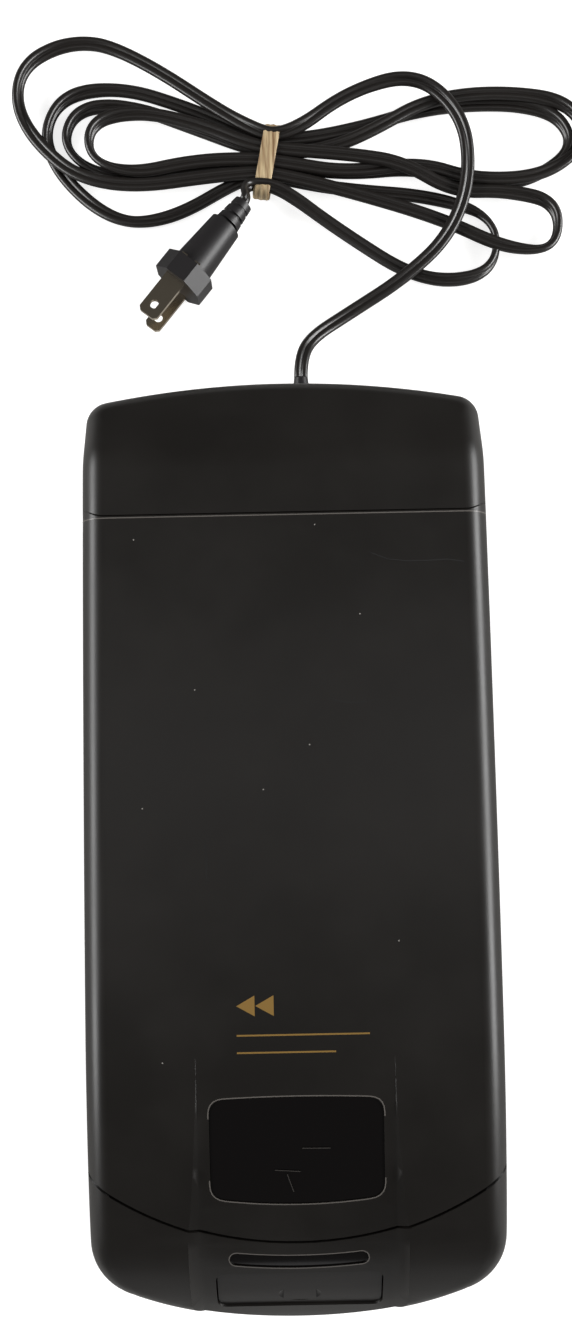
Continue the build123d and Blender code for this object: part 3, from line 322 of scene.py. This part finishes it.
# Zinc-plated mild steel of screws, motor can and brackets: bluish, softly brushed.
zinc_plate, tree, shader = start_finish("zinc_plated_steel", "#b9bcbf", Metallic=1.0, Roughness=0.32)
grain_bump(tree, shader, size=0.25 * mm, height=0.004 * mm)

# Spring steel and bright pins: darker and smoother than the plating.
spring_steel, tree, shader = start_finish("spring_steel", "#8f9092", Metallic=1.0, Roughness=0.22)

# Sintered bronze of the bushes and turned brass of the motor pulley.
sintered_bronze, tree, shader = start_finish(
    "sintered_bronze", "#9c7440", Metallic=1.0, Roughness=0.45
)
grain_bump(tree, shader, size=0.2 * mm, height=0.02 * mm)
turned_brass, tree, shader = start_finish("turned_brass", "#c9a24e", Metallic=1.0, Roughness=0.2)

# Nickel-plated brass blades: bright, a little warm where the plating is worn.
nickel_plate, tree, shader = start_finish(
    "nickel_plated_brass", "#c4b8a4", Metallic=1.0, Roughness=0.24
)
grain_bump(tree, shader, size=1.4 * mm, height=0.004 * mm)

# Phenolic paper board, brown and slightly glossy.
phenolic_board, tree, shader = start_finish("phenolic_paper_board", "#7a5326", Roughness=0.4)

# Shrunk PVC sleeve of the capacitor, and epoxy of the diodes.
pvc_sleeve, tree, shader = start_finish("blue_pvc_sleeve", "#1d2f66", Roughness=0.3)
diode_epoxy, tree, shader = start_finish("black_epoxy", "#0f0f10", Roughness=0.35)

# Varnished silicon steel stack, and polyester tape over the winding.
core_steel, tree, shader = start_finish(
    "varnished_core_steel", "#4a4744", Metallic=0.7, Roughness=0.5
)
winding_tape, tree, shader = start_finish("yellow_polyester_tape", "#c79a2d", Roughness=0.3)

# Clear red epoxy of the lamp.
lamp_epoxy, tree, shader = start_finish(
    "red_epoxy", "#a3120e", Roughness=0.12, IOR=1.53, Transmission_Weight=0.35
)

# Flexible PVC of the twin lead: brown-black with a soft plasticised sheen.
lead_pvc, tree, shader = start_finish(
    "plasticised_pvc_lead", "#1b1816", Roughness=0.33, IOR=1.53, Specular_IOR_Level=0.6
)
grain_bump(tree, shader, size=3 * mm, height=0.03 * mm)

# The same PVC, moulded on for plug and strain relief: a touch duller.
moulded_pvc, tree, shader = start_finish(
    "moulded_pvc", "#1c1a1b", Roughness=0.42, IOR=1.53, Specular_IOR_Level=0.5
)
grain_bump(tree, shader, size=0.5 * mm, height=0.012 * mm)

# Natural rubber band, aged: matt tan with paler stretched streaks along it.
band_rubber, tree, shader = start_finish("natural_rubber_band", "#b49a78", Roughness=0.6)
place = add_node(tree, "ShaderNodeTexCoord")
along = add_node(
    tree,
    "ShaderNodeMapping",
    {
        "Vector": place.outputs["Object"],
        "Rotation": (0, 0, math.radians(8)),
        "Scale": (1, 0.06, 0.06),
    },
)
streaks = add_node(
    tree,
    "ShaderNodeTexNoise",
    {"Vector": along.outputs["Vector"], "Scale": 1 / (0.9 * mm), "Detail": 3.0},
)
tone = add_node(tree, "ShaderNodeValToRGB", {"Fac": streaks.outputs["Fac"]})
tone.color_ramp.elements[0].position = 0.35
tone.color_ramp.elements[0].color = linear("#7c6040")
tone.color_ramp.elements[1].position = 0.65
tone.color_ramp.elements[1].color = linear("#cdb891")
tree.links.new(tone.outputs["Color"], shader.inputs["Base Color"])

# Gold pad-printing ink.
gold_ink, tree, shader = start_finish("gold_print_ink", "#a8854a", Metallic=0.6, Roughness=0.4)

casing_skin("base_tub", "casing").data.materials.append(shell_plastic)
casing_skin("rear_cover", "casing").data.materials.append(shell_plastic)
casing_skin("lid_shell", "lid", ends=lid_edge_ends).data.materials.append(shell_plastic)
dress(button_plastic, "eject_button")
dress(inner_plastic, "cassette_deck", "latch_slider", "switch_lever", "lid_switch")
dress(smoked_acrylic, "lid_window", "indicator_lens")
dress(neoprene, "rubber_feet", "drive_belt")
dress(acetal, "drive_spindle", "idler_spindle", "drive_pulley", "brake_release_pin")
dress(zinc_plate, "case_screws", "small_screws", "motor_screws", "drive_motor", "motor_plate")
dress(zinc_plate, "transformer_strap", "spring_rivets")
dress(spring_steel, "hinge_pins", "hold_down_springs", "button_spring", "idler_clip")
dress(sintered_bronze, "drive_bush", "idler_bush")
dress(turned_brass, "motor_pulley")
dress(nickel_plate, "plug_blades")
dress(phenolic_board, "circuit_board")
dress(pvc_sleeve, "board_capacitor")
dress(diode_epoxy, "board_diodes")
dress(core_steel, "transformer_core")
dress(winding_tape, "transformer_coil")
dress(lamp_epoxy, "power_led")
dress(moulded_pvc, "plug_body", "cord_grommet")

# ---- Painted rim highlights, printed marks and wear ---------------------------------------------
# Painted highlights, wear and rules lie this far over the surface, solid ink a little closer.
mark_lift = 0.04
ink_lift = 0.03

# The recessed band's floor in side view.
band_top = nose_top - Vector((0, 2.5))
band_fall = arc_onward(
    crown_front + Vector((0, 0.05)), turned(crown_front - crown).normalized(), band_top
)
band_nose = arc_onward(
    band_top, turned(band_top - band_fall).normalized(), nose_end - Vector((0, 0.2))
)


def arc_height(centre, radius, y):
    """Height of an arc's upper half at this place along the machine."""
    return centre.y + math.sqrt(radius**2 - (y - centre.x) ** 2)


def band_height(y):
    """Height of the recessed band's floor."""
    centre = band_fall if y > band_top.x else band_nose
    return arc_height(centre, (band_top - centre).length, y)


def roof_height(y):
    """Height of the roof."""
    centre, radius = roof_at(Vector((0, y, roof_top)))[2:]
    return arc_height(centre, radius, y)


def ribbon(path, width, height, closed=False):
    """Points and faces of a flat line of ink, wear or painted highlight, width wide, just over the casing.
    """
    path = [Vector(spot) for spot in path]
    count = len(path)
    points = []
    for k, spot in enumerate(path):
        before = path[k - 1] if closed or k else spot
        after = path[(k + 1) % count] if closed or k < count - 1 else spot
        side = turned((after - before).normalized()) * width / 2
        for edge in (spot - side, spot + side):
            points.append((edge.x, edge.y, height(edge.y) + mark_lift))
    spans = range(count if closed else count - 1)
    ring = [(2 * k, 2 * ((k + 1) % count), 2 * ((k + 1) % count) + 1, 2 * k + 1) for k in spans]
    return points, ring


def marks(name, shapes, finish, body):
    """One piece of several flat shapes, each given as points and faces in millimetres."""
    points, faces = [], []
    for own_points, own_faces in shapes:
        first = len(points)
        points += [[value * mm for value in point] for point in own_points]
        faces += [[first + k for k in face] for face in own_faces]
    piece = new_piece(name, points, faces, finish, body)
    return piece


def bowed(half, y, bow, count=24):
    """Points along a shallow arc from left to right, its middle pulled to the front by bow."""
    return [(half * t, y + bow * t * t) for t in np.linspace(-1, 1, count)]


def rounded_corners(outline, radius, steps=5):
    """The closed outline with each of its four sharp corners rounded."""
    path = []
    count = len(outline)
    for k, spot in enumerate(outline):
        spot = Vector(spot)
        before = Vector(outline[k - 1]) - spot
        after = Vector(outline[(k + 1) % count]) - spot
        turn = before.angle(after)
        if turn > math.radians(140):
            path.append(tuple(spot))
            continue
        start = spot + before.normalized() * radius
        end = spot + after.normalized() * radius
        for j in range(steps + 1):
            t = j / steps
            path.append(tuple(start * (1 - t) ** 2 + spot * 2 * t * (1 - t) + end * t * t))
    return path


# Pale painted highlights stand in for the light caught by the bevels round window and lamp slot, and by the
# rounded edge at the rear seam.
edge_highlight_paint, tree, shader = start_finish("painted_edge_highlight", "#5d5955", Roughness=0.3)
window_gap = 0.25
window_half = 25.65 + window_gap
window_front = front_y + 41.8 - window_gap
window_rear = front_y + 41.8 + 32.2 + window_gap
window_corner = 4.5
outline = bowed(window_half, window_front, 2.0, 9)
outline += reversed(bowed(window_half, window_rear, -0.7, 9))
rim = ribbon(rounded_corners(outline, window_corner), 0.34, band_height, closed=True)
marks("window_bevel", [rim], edge_highlight_paint, "lid")

slot_round = 2.1
slot_half = 41.5 / 2 - slot_round
slot_y = front_y + 20.8 + slot_round
slot_bow = 1.1
slot_reach = slot_round + 0.2


def slot_side(side):
    """One long side of the lamp slot's rim, front (1) or rear (-1), and the round end after it."""
    path = [(side * x, y - side * slot_reach) for x, y in bowed(slot_half, slot_y, slot_bow, 16)]
    for turn in np.linspace(0.3, 2.8, 7):
        x = side * (slot_half + slot_reach * math.sin(turn))
        path.append((x, slot_y + slot_bow - side * slot_reach * math.cos(turn)))
    return path


# The slot's pale rim is a painted highlight as well.
slot_rim = ribbon(slot_side(1) + slot_side(-1), 0.32, band_height, closed=True)
marks("slot_bevel", [slot_rim], edge_highlight_paint, "casing")

# The painted highlight line lies over the lid's rear edge, 0.8 mm before the rear cover, yet it stays on
# the casing.
seam_y = 99.95
seam_half = 0.17
seam_points = []
turns = np.linspace(0.25, math.pi / 2, 8)
profile = [(-1, turn) for turn in turns] + [(1, turn) for turn in turns[::-1]]
for side, turn in profile:
    for y in (seam_y - seam_half, seam_y + seam_half):
        spot = round_spot(side, turn, y)
        lift = mark_lift * Vector((side * math.cos(turn), 0, math.sin(turn)))
        seam_points.append(spot + lift)
seam_faces = [(2 * k, 2 * k + 2, 2 * k + 3, 2 * k + 1) for k in range(len(profile) - 1)]
marks("seam_edge", [(seam_points, seam_faces)], edge_highlight_paint, "casing")


# Pad-printed gold on the lid: a double triangle for rewind over two plain rules.
def triangle(x, y, size):
    """A left-pointing triangle on the lid."""
    corners = [(x, y), (x + size * 0.9, y - size / 2), (x + size * 0.9, y + size / 2)]
    return [(a, b, roof_height(b) + ink_lift) for a, b in corners], [(0, 1, 2)]


print_left = -17
symbol_y = -46
symbol_size = 6
arrows = [triangle(x, symbol_y, symbol_size) for x in (print_left, print_left + 5.6)]
rules = []
for y, end in ((-54.5, 22), (-59.5, 12)):
    rules.append(ribbon([(print_left, y), (end, y)], 0.5, roof_height))
marks("rewind_print", arrows + rules, gold_ink, "lid")

# A long dark scuff and small nicks on the lid, pale hairlines on the window, specks of dust.
scuff, tree, shader = start_finish("dark_scuff", "#0b0a09", Roughness=0.6)
pale, tree, shader = start_finish("pale_hairline", "#35322f", Roughness=0.5)
scuff_path = [(25.7, 87.8), (31, 85.6), (37, 84.9), (43, 84.9), (49, 85.2), (54, 84.4)]
nick_path = [(-25.4, 1.5), (-25.0, -3.5), (-25.2, -7.5), (-24.6, -10)]
faint_path = [(13, 43.5), (16, 42.6), (21, 42.2), (24, 42.9)]
marks(
    "lid_scuffs",
    [ribbon(path, 0.3, roof_height) for path in (scuff_path, nick_path, faint_path)],
    scuff,
    "lid",
)
hairlines = [[(1.5, -87.8), (9.8, -87.9)], [(-6.6, -94.3), (0.8, -94.8)], [(-3, -95.6), (-1.2, -101)]]
marks("window_hairlines", [ribbon(path, 0.22, band_height) for path in hairlines], pale, "lid")
dust, tree, shader = start_finish("dust_speck", "#8d8a84", Roughness=0.9)
specks = [(-46, 93), (9, 96.6), (-28, 47), (-8, 17), (22, 69), (31, -28), (-39, -62), (6, 30), (-44, 12)]
speck_size = 0.35
marks(
    "dust_specks",
    [ribbon([(x, y), (x + speck_size, y + 0.1)], speck_size, roof_height) for x, y in specks],
    dust,
    "lid",
)

# ---- Mains lead ----------------------------------------------------------------------------------
# Flat twin, 5.0 x 2.6. Heights of its middle above the table, by layer, where it lies flat.
lead_width = 5.0
lead_thickness = 2.6
low = 1.45
high = low + 2.9
over = high + 2.9
exit_x = 7.0
exit_z = 10.0
grommet_end = rear_y + 16.0
hank_centre = (-3.7, rear_y + 100.8)
hank_angle = math.radians(-8.0)
waist_pitch = 5.0
waist_straight = 6.5
waist_lift = 1.0
plug_height = 9.75
plug_way = math.radians(-128.7)
plug_tail = (-5.1, -17.9)
plug_straight = 2.2

# Passes through the tie, right to left first: column across the waist, and layer.
passes = [
    (1, high),
    (4, high),
    (2, high),
    (3, high),
    (2, low),
    (3, low),
    (1, low),
    (4, low),
    (5, high),
]
left_lobes = [
    [(-58, 37.5, high), (-80, 38, high), (-97, 24, high), (-93, 2, high), (-62, -19.5, high)],
    [
        (-27, 11.5, high),
        (-50, 14, high),
        (-67, 7, high),
        (-66, -7, high),
        (-50, -11, high),
        (-28, -3, high),
    ],
    [(-28, 11, low), (-54, 17.5, low), (-74, 13, low), (-77, -3, low), (-60, -12.5, low), (-34, -6.5, low)],
    [(-30, 18.5, low), (-60, 24.5, low), (-82, 16, low), (-84, -6, low), (-56, -29, low), (-34, -26, low)],
]
right_lobes = [
    [
        (30, -7.5, high),
        (66, -14, high),
        (92, -23, high),
        (110, -21, low + 1.5),
        (109, -3, low + 1.5),
        (90, -0.5, high),
        (70, -3.5, high),
        (50, 4, over + 0.3),
        (32, 5.5, over - 1),
    ],
    [
        (30, -0.7, high),
        (56, 6.5, high),
        (78, 2, high),
        (104, 7, high),
        (119, 23, high),
        (104, 39, high),
        (60, 34, high),
        (34, 14, high),
        (20, 8, low + 1.5),
    ],
    [
        (30, 0.2, low),
        (56, 6, low),
        (77, 1.5, low),
        (100, 6, low),
        (114, 22, low),
        (100, 36, low),
        (60, 31, low),
        (30, 17.5, low),
    ],
    [(28, -6, low), (66, -4.5, low), (88, -12, low), (88, -33, low), (62, -38, low), (30, -22, low)],
]
lead_corners = [
    (exit_x, grommet_end, exit_z),
    (exit_x, grommet_end + 7.0, exit_z),
    (11, rear_y + 33, 4.6),
    (25, rear_y + 43, low + 0.2),
    (46, rear_y + 55, high + 0.6),
    (63, rear_y + 70, over),
    (71, rear_y + 92, over + 0.2),
    (69, rear_y + 116, over + 0.2),
    (52, rear_y + 132, over),
    (27, rear_y + 126, high + 3),
]


def hank_point(along, across, height):
    """From the hank's own axes to the machine's frame."""
    c = math.cos(hank_angle)
    s = math.sin(hank_angle)
    return (hank_centre[0] + along * c - across * s, hank_centre[1] + along * s + across * c, height)


def waist_point(end, number):
    """Where pass number meets the right (1) or left (-1) end of the straight waist."""
    column, height = passes[number]
    return (end * waist_straight, (3 - column) * waist_pitch, height + waist_lift)


def hank_corners():
    """All corners of the tied part: nine passes with four lobes on either side."""
    corners = []
    for number in range(len(passes)):
        first = 1 if number % 2 == 0 else -1
        corners.append(waist_point(first, number))
        if number < len(passes) - 1:
            corners.append(waist_point(-first, number))
            lobes = left_lobes if first == 1 else right_lobes
            corners += lobes[number // 2]
    tail_way = plug_way - hank_angle
    corners.append((-4.5, -10, high + waist_lift))
    corners.append((-6.8, -13.2, high + waist_lift + 1.5))
    corners.append((*plug_tail, plug_height))
    corners.append(
        (
            plug_tail[0] + plug_straight * math.cos(tail_way),
            plug_tail[1] + plug_straight * math.sin(tail_way),
            plug_height,
        )
    )
    return [hank_point(*corner) for corner in corners]


def read_line(name, corners):
    """Points along one smooth curve with these control points, in metres."""
    line = bpy.data.curves.new(name, "CURVE")
    line.dimensions = "3D"
    spline = line.splines.new("NURBS")
    spline.points.add(len(corners) - 1)
    for point, corner in zip(spline.points, corners):
        point.co = (*[value * mm for value in corner], 1.0)
    spline.order_u = 3
    spline.use_endpoint_u = True
    line.resolution_u = 16
    holder = bpy.data.objects.new(name, line)
    bpy.context.scene.collection.objects.link(holder)
    bpy.context.view_layer.update()
    mesh = bpy.data.meshes.new_from_object(holder)
    points = np.array([vertex.co for vertex in mesh.vertices])
    bpy.data.objects.remove(holder)
    bpy.data.meshes.remove(mesh)
    bpy.data.curves.remove(line)
    return points


def evenly(points, step):
    """The same line with its points a constant distance apart."""
    keep = np.append(True, np.linalg.norm(np.diff(points, axis=0), axis=1) > 1e-7)
    points = points[keep]
    run = np.append(0, np.cumsum(np.linalg.norm(np.diff(points, axis=0), axis=1)))
    stations = np.linspace(0, run[-1], int(run[-1] / step) + 1)
    return np.stack([np.interp(stations, run, points[:, k]) for k in range(3)], axis=1)


def twin_section(width, thickness, count=28):
    """Outline of flat twin cord: two round cores with a groove between them."""
    radius = thickness / 2
    core = width / 2 - radius
    outline = []
    for k in range(count):
        angle = 2 * math.pi * (k + 0.5) / count
        reach = abs(core * math.cos(angle)) + math.sqrt(
            max(radius**2 - (core * math.sin(angle)) ** 2, (0.46 * radius) ** 2)
        )
        outline.append((reach * math.cos(angle), reach * math.sin(angle)))
    return outline


def smoothed(values, reach):
    """Running mean over reach points to either side."""
    padded = np.pad(values, reach, mode="edge")
    return np.convolve(padded, np.ones(2 * reach + 1) / (2 * reach + 1), mode="valid")


lead_step = 1.2 * mm
lead_line = evenly(read_line("lead_line", lead_corners + hank_corners()), lead_step)
ways = np.gradient(lead_line, axis=0)
ways /= np.linalg.norm(ways, axis=1)[:, None]
bend = np.linalg.norm(np.gradient(ways[:, :2], axis=0), axis=1) / lead_step
# Flat cord stands on its edge where it is bent hard: from a 33 mm radius on, fully at 18 mm.
# Near the machine it stays flat, as it is held by the grommet.
flat_until = 30
upright_from = 55
flat_before = 0.2
edge_share = smoothed(np.clip((bend - flat_until) / (upright_from - flat_until), 0, 1), 8)
edge_share[lead_line[:, 1] < flat_before] = 0
edge_share = smoothed(edge_share, 6)
tilt = edge_share * math.radians(80)
lead_line[:, 2] += np.sin(tilt) * (lead_width - lead_thickness) / 2 * mm

section = twin_section(lead_width, lead_thickness)
sideways = np.cross(ways, [0, 0, 1])
sideways /= np.linalg.norm(sideways, axis=1)[:, None]
upward = np.cross(sideways, ways)
points = []
for spot, side, up, lean in zip(lead_line, sideways, upward, tilt):
    c, s = math.cos(lean), math.sin(lean)
    broad = side * c + up * s
    thin = up * c - side * s
    points += [spot + (broad * u + thin * v) * mm for u, v in section]
count = len(section)
faces = []
for ring in range(len(lead_line) - 1):
    for k in range(count):
        a = ring * count + k
        b = ring * count + (k + 1) % count
        faces.append((a, a + count, b + count, b))
faces.append(tuple(range(count)))
faces.append(tuple(range(len(points) - 1, len(points) - 1 - count, -1)))
mains_lead = new_piece("mains_lead", points, faces, lead_pvc)
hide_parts("cord_lead", "cord_hank")

# Rubber band round the waist, pulled snug over the flats.
tie_half = 2.5 * waist_pitch + 0.5
tie_low = low + waist_lift - lead_thickness / 2 - 0.1
tie_high = high + waist_lift + lead_thickness / 2 + 0.1
tie_thickness = 0.8
tie_width = 5.6


def rounded_ring(half, bottom, top, radius, count=12):
    """Closed rounded rectangle in the plane across the waist."""
    outline = []
    middle = (bottom + top) / 2
    for corner, (a, b) in enumerate(((1, 1), (-1, 1), (-1, -1), (1, -1))):
        for k in range(count):
            angle = math.pi / 2 * (corner + k / (count - 1))
            outline.append(
                (
                    a * (half - radius) + radius * math.cos(angle),
                    middle + b * ((top - bottom) / 2 - radius) + radius * math.sin(angle),
                )
            )
    return outline


def band_mesh():
    """The band's skin: ridged across its width, with both edges rolled."""
    ring_points = []
    stations = 17
    rings = []
    for face, grow in (("out", tie_thickness), ("in", 0.0)):
        for j in range(stations):
            across = j / (stations - 1) * 2 - 1
            if face == "in":
                across = -across
            edge = 0.35 * max(0.0, abs(across) - 0.75) / 0.25
            ridge = 0.16 * math.cos(across * 2.5 * math.pi) if face == "out" else 0.0
            swell = grow * (1 - edge) + ridge * (1 - abs(across)) if face == "out" else edge * 0.3
            outline = rounded_ring(
                tie_half + swell, tie_low - swell, tie_high + swell, 1.7 + swell
            )
            ring = []
            for u, z in outline:
                lean = 0.05 * u + 0.25 * math.sin(u * 0.5 + across)
                spot = hank_point(across * tie_width / 2 + lean, u, z)
                ring.append(len(ring_points))
                ring_points.append([value * mm for value in spot])
            rings.append(ring)
    made = []
    rings.append(rings[0])
    for near, far in zip(rings, rings[1:]):
        for k in range(len(near)):
            n = (k + 1) % len(near)
            made.append((near[k], near[n], far[n], far[k]))
    return ring_points, made


band_points, band_faces = band_mesh()
band = new_piece("rubber_band", band_points, band_faces, band_rubber)
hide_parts("hank_tie")

# The plug as it lies, turned with the lead's end, its sleeve a little longer than first built.
built_way = math.radians(-123.2)
built_tail = (-7.5, -19.0)
built_straight = 6.5
sleeve_length = 26.0
sleeve_stretch = 1.19


def way_vector(angle):
    """Level unit vector at this angle from +X."""
    return Vector((math.cos(angle), math.sin(angle), 0))


def end_of_lead(tail, straight, way):
    """Where the lead meets the plug, in the machine's frame."""
    turn = way - hank_angle
    along = tail[0] + straight * math.cos(turn)
    across = tail[1] + straight * math.sin(turn)
    return Vector(hank_point(along, across, plug_height))


def moved_plug(name):
    """A copy of a plug piece in its new place."""
    mesh = cad[name].data.copy()
    mesh.name = name + "_laid"
    mesh.transform(Matrix.Scale(1 / mm, 4) @ cad[name].matrix_world)
    start = end_of_lead(built_tail, built_straight, built_way)
    new_start = end_of_lead(plug_tail, plug_straight, plug_way)
    for vert in mesh.vertices:
        arm = vert.co - start
        along = arm.dot(way_vector(built_way))
        across = arm.dot(way_vector(built_way + math.pi / 2))
        along += (sleeve_stretch - 1) * min(max(along, 0), sleeve_length)
        level = way_vector(plug_way) * along + way_vector(plug_way + math.pi / 2) * across
        vert.co = new_start + level + Vector((0, 0, arm.z))
    mesh.transform(Matrix.Scale(mm, 4))
    mesh.attributes.remove(mesh.attributes["custom_normal"])
    mesh.set_sharp_from_angle(angle=math.radians(35))
    piece = bpy.data.objects.new(name + "_laid", mesh)
    bpy.context.scene.collection.objects.link(piece)
    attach(piece, "casing")
    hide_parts(name)
    return piece


laid_plug = moved_plug("plug_body")
laid_blades = moved_plug("plug_blades")

# ---- Table, light and camera -----------------------------------------------------------------------
# White paper sweep. Its glow is for the eye alone, so it adds no light to the machine.
paper, tree, shader = start_finish("white_paper", "#bdbcba", Roughness=0.9, Specular_IOR_Level=0.1)
rays = add_node(tree, "ShaderNodeLightPath")
glow = add_node(
    tree, "ShaderNodeMath", {0: rays.outputs["Is Camera Ray"], 1: 0.8}, operation="MULTIPLY"
)
shader.inputs["Emission Color"].default_value = (1, 1, 1, 1)
tree.links.new(glow.outputs[0], shader.inputs["Emission Strength"])
table_size = 8
bpy.ops.mesh.primitive_plane_add(size=table_size, location=(0, 0, 0))
table = bpy.context.object
table.name = "table"
table.data.materials.append(paper)


def soft_lamp(name, place, aim, size, power):
    """A rectangular soft box that faces a point. Metres and watts."""
    lamp = bpy.data.lights.new(name, "AREA")
    lamp.shape = "RECTANGLE"
    lamp.size, lamp.size_y = size
    lamp.energy = power
    holder = bpy.data.objects.new(name, lamp)
    bpy.context.scene.collection.objects.link(holder)
    holder.location = place
    holder.rotation_euler = (Vector(aim) - Vector(place)).to_track_quat("-Z", "Y").to_euler()


# Two long boxes low at the sides draw the bright lines along the rounded edges. Two small lamps high
# over the middle lift the roof, and a weak one in front shapes the nose.
soft_lamp("left_box", (-1.25, 0.1, 0.6), (0, 0, 0), (1.5, 0.5), 24)
soft_lamp("right_box", (1.25, 0.1, 0.6), (0, 0, 0), (1.5, 0.5), 30)
soft_lamp("front_box", (0.1, -1.5, 0.3), (0, 0, 0), (1.6, 0.4), 1)
soft_lamp("left_ceiling", (-0.32, 0.03, 1.6), (-0.04, 0.02, 0), (0.3, 0.45), 0.5)
soft_lamp("right_ceiling", (0.32, 0.03, 1.6), (0.04, 0.02, 0), (0.3, 0.45), 0.5)

world = bpy.data.worlds.new("room")
bpy.context.scene.world = world
world.use_nodes = True
sky = world.node_tree.nodes["Background"]
sky.inputs["Color"].default_value = linear("#fbfaf8")
sky.inputs["Strength"].default_value = 0.08

# The eye is close over the machine's middle and looks a little towards its rear.
camera = bpy.data.objects.new("camera", bpy.data.cameras.new("camera"))
bpy.context.scene.collection.objects.link(camera)
camera.data.lens = 31.06
camera.data.sensor_width = 36.0
camera.data.clip_start = 0.01
camera.location = (0.0, 23.8 * mm, 413.3 * mm)
camera.rotation_euler = [math.radians(angle) for angle in (4.945, 0.164, -1.1475)]
bpy.context.scene.camera = camera

bpy.context.scene.view_settings.view_transform = "Standard"
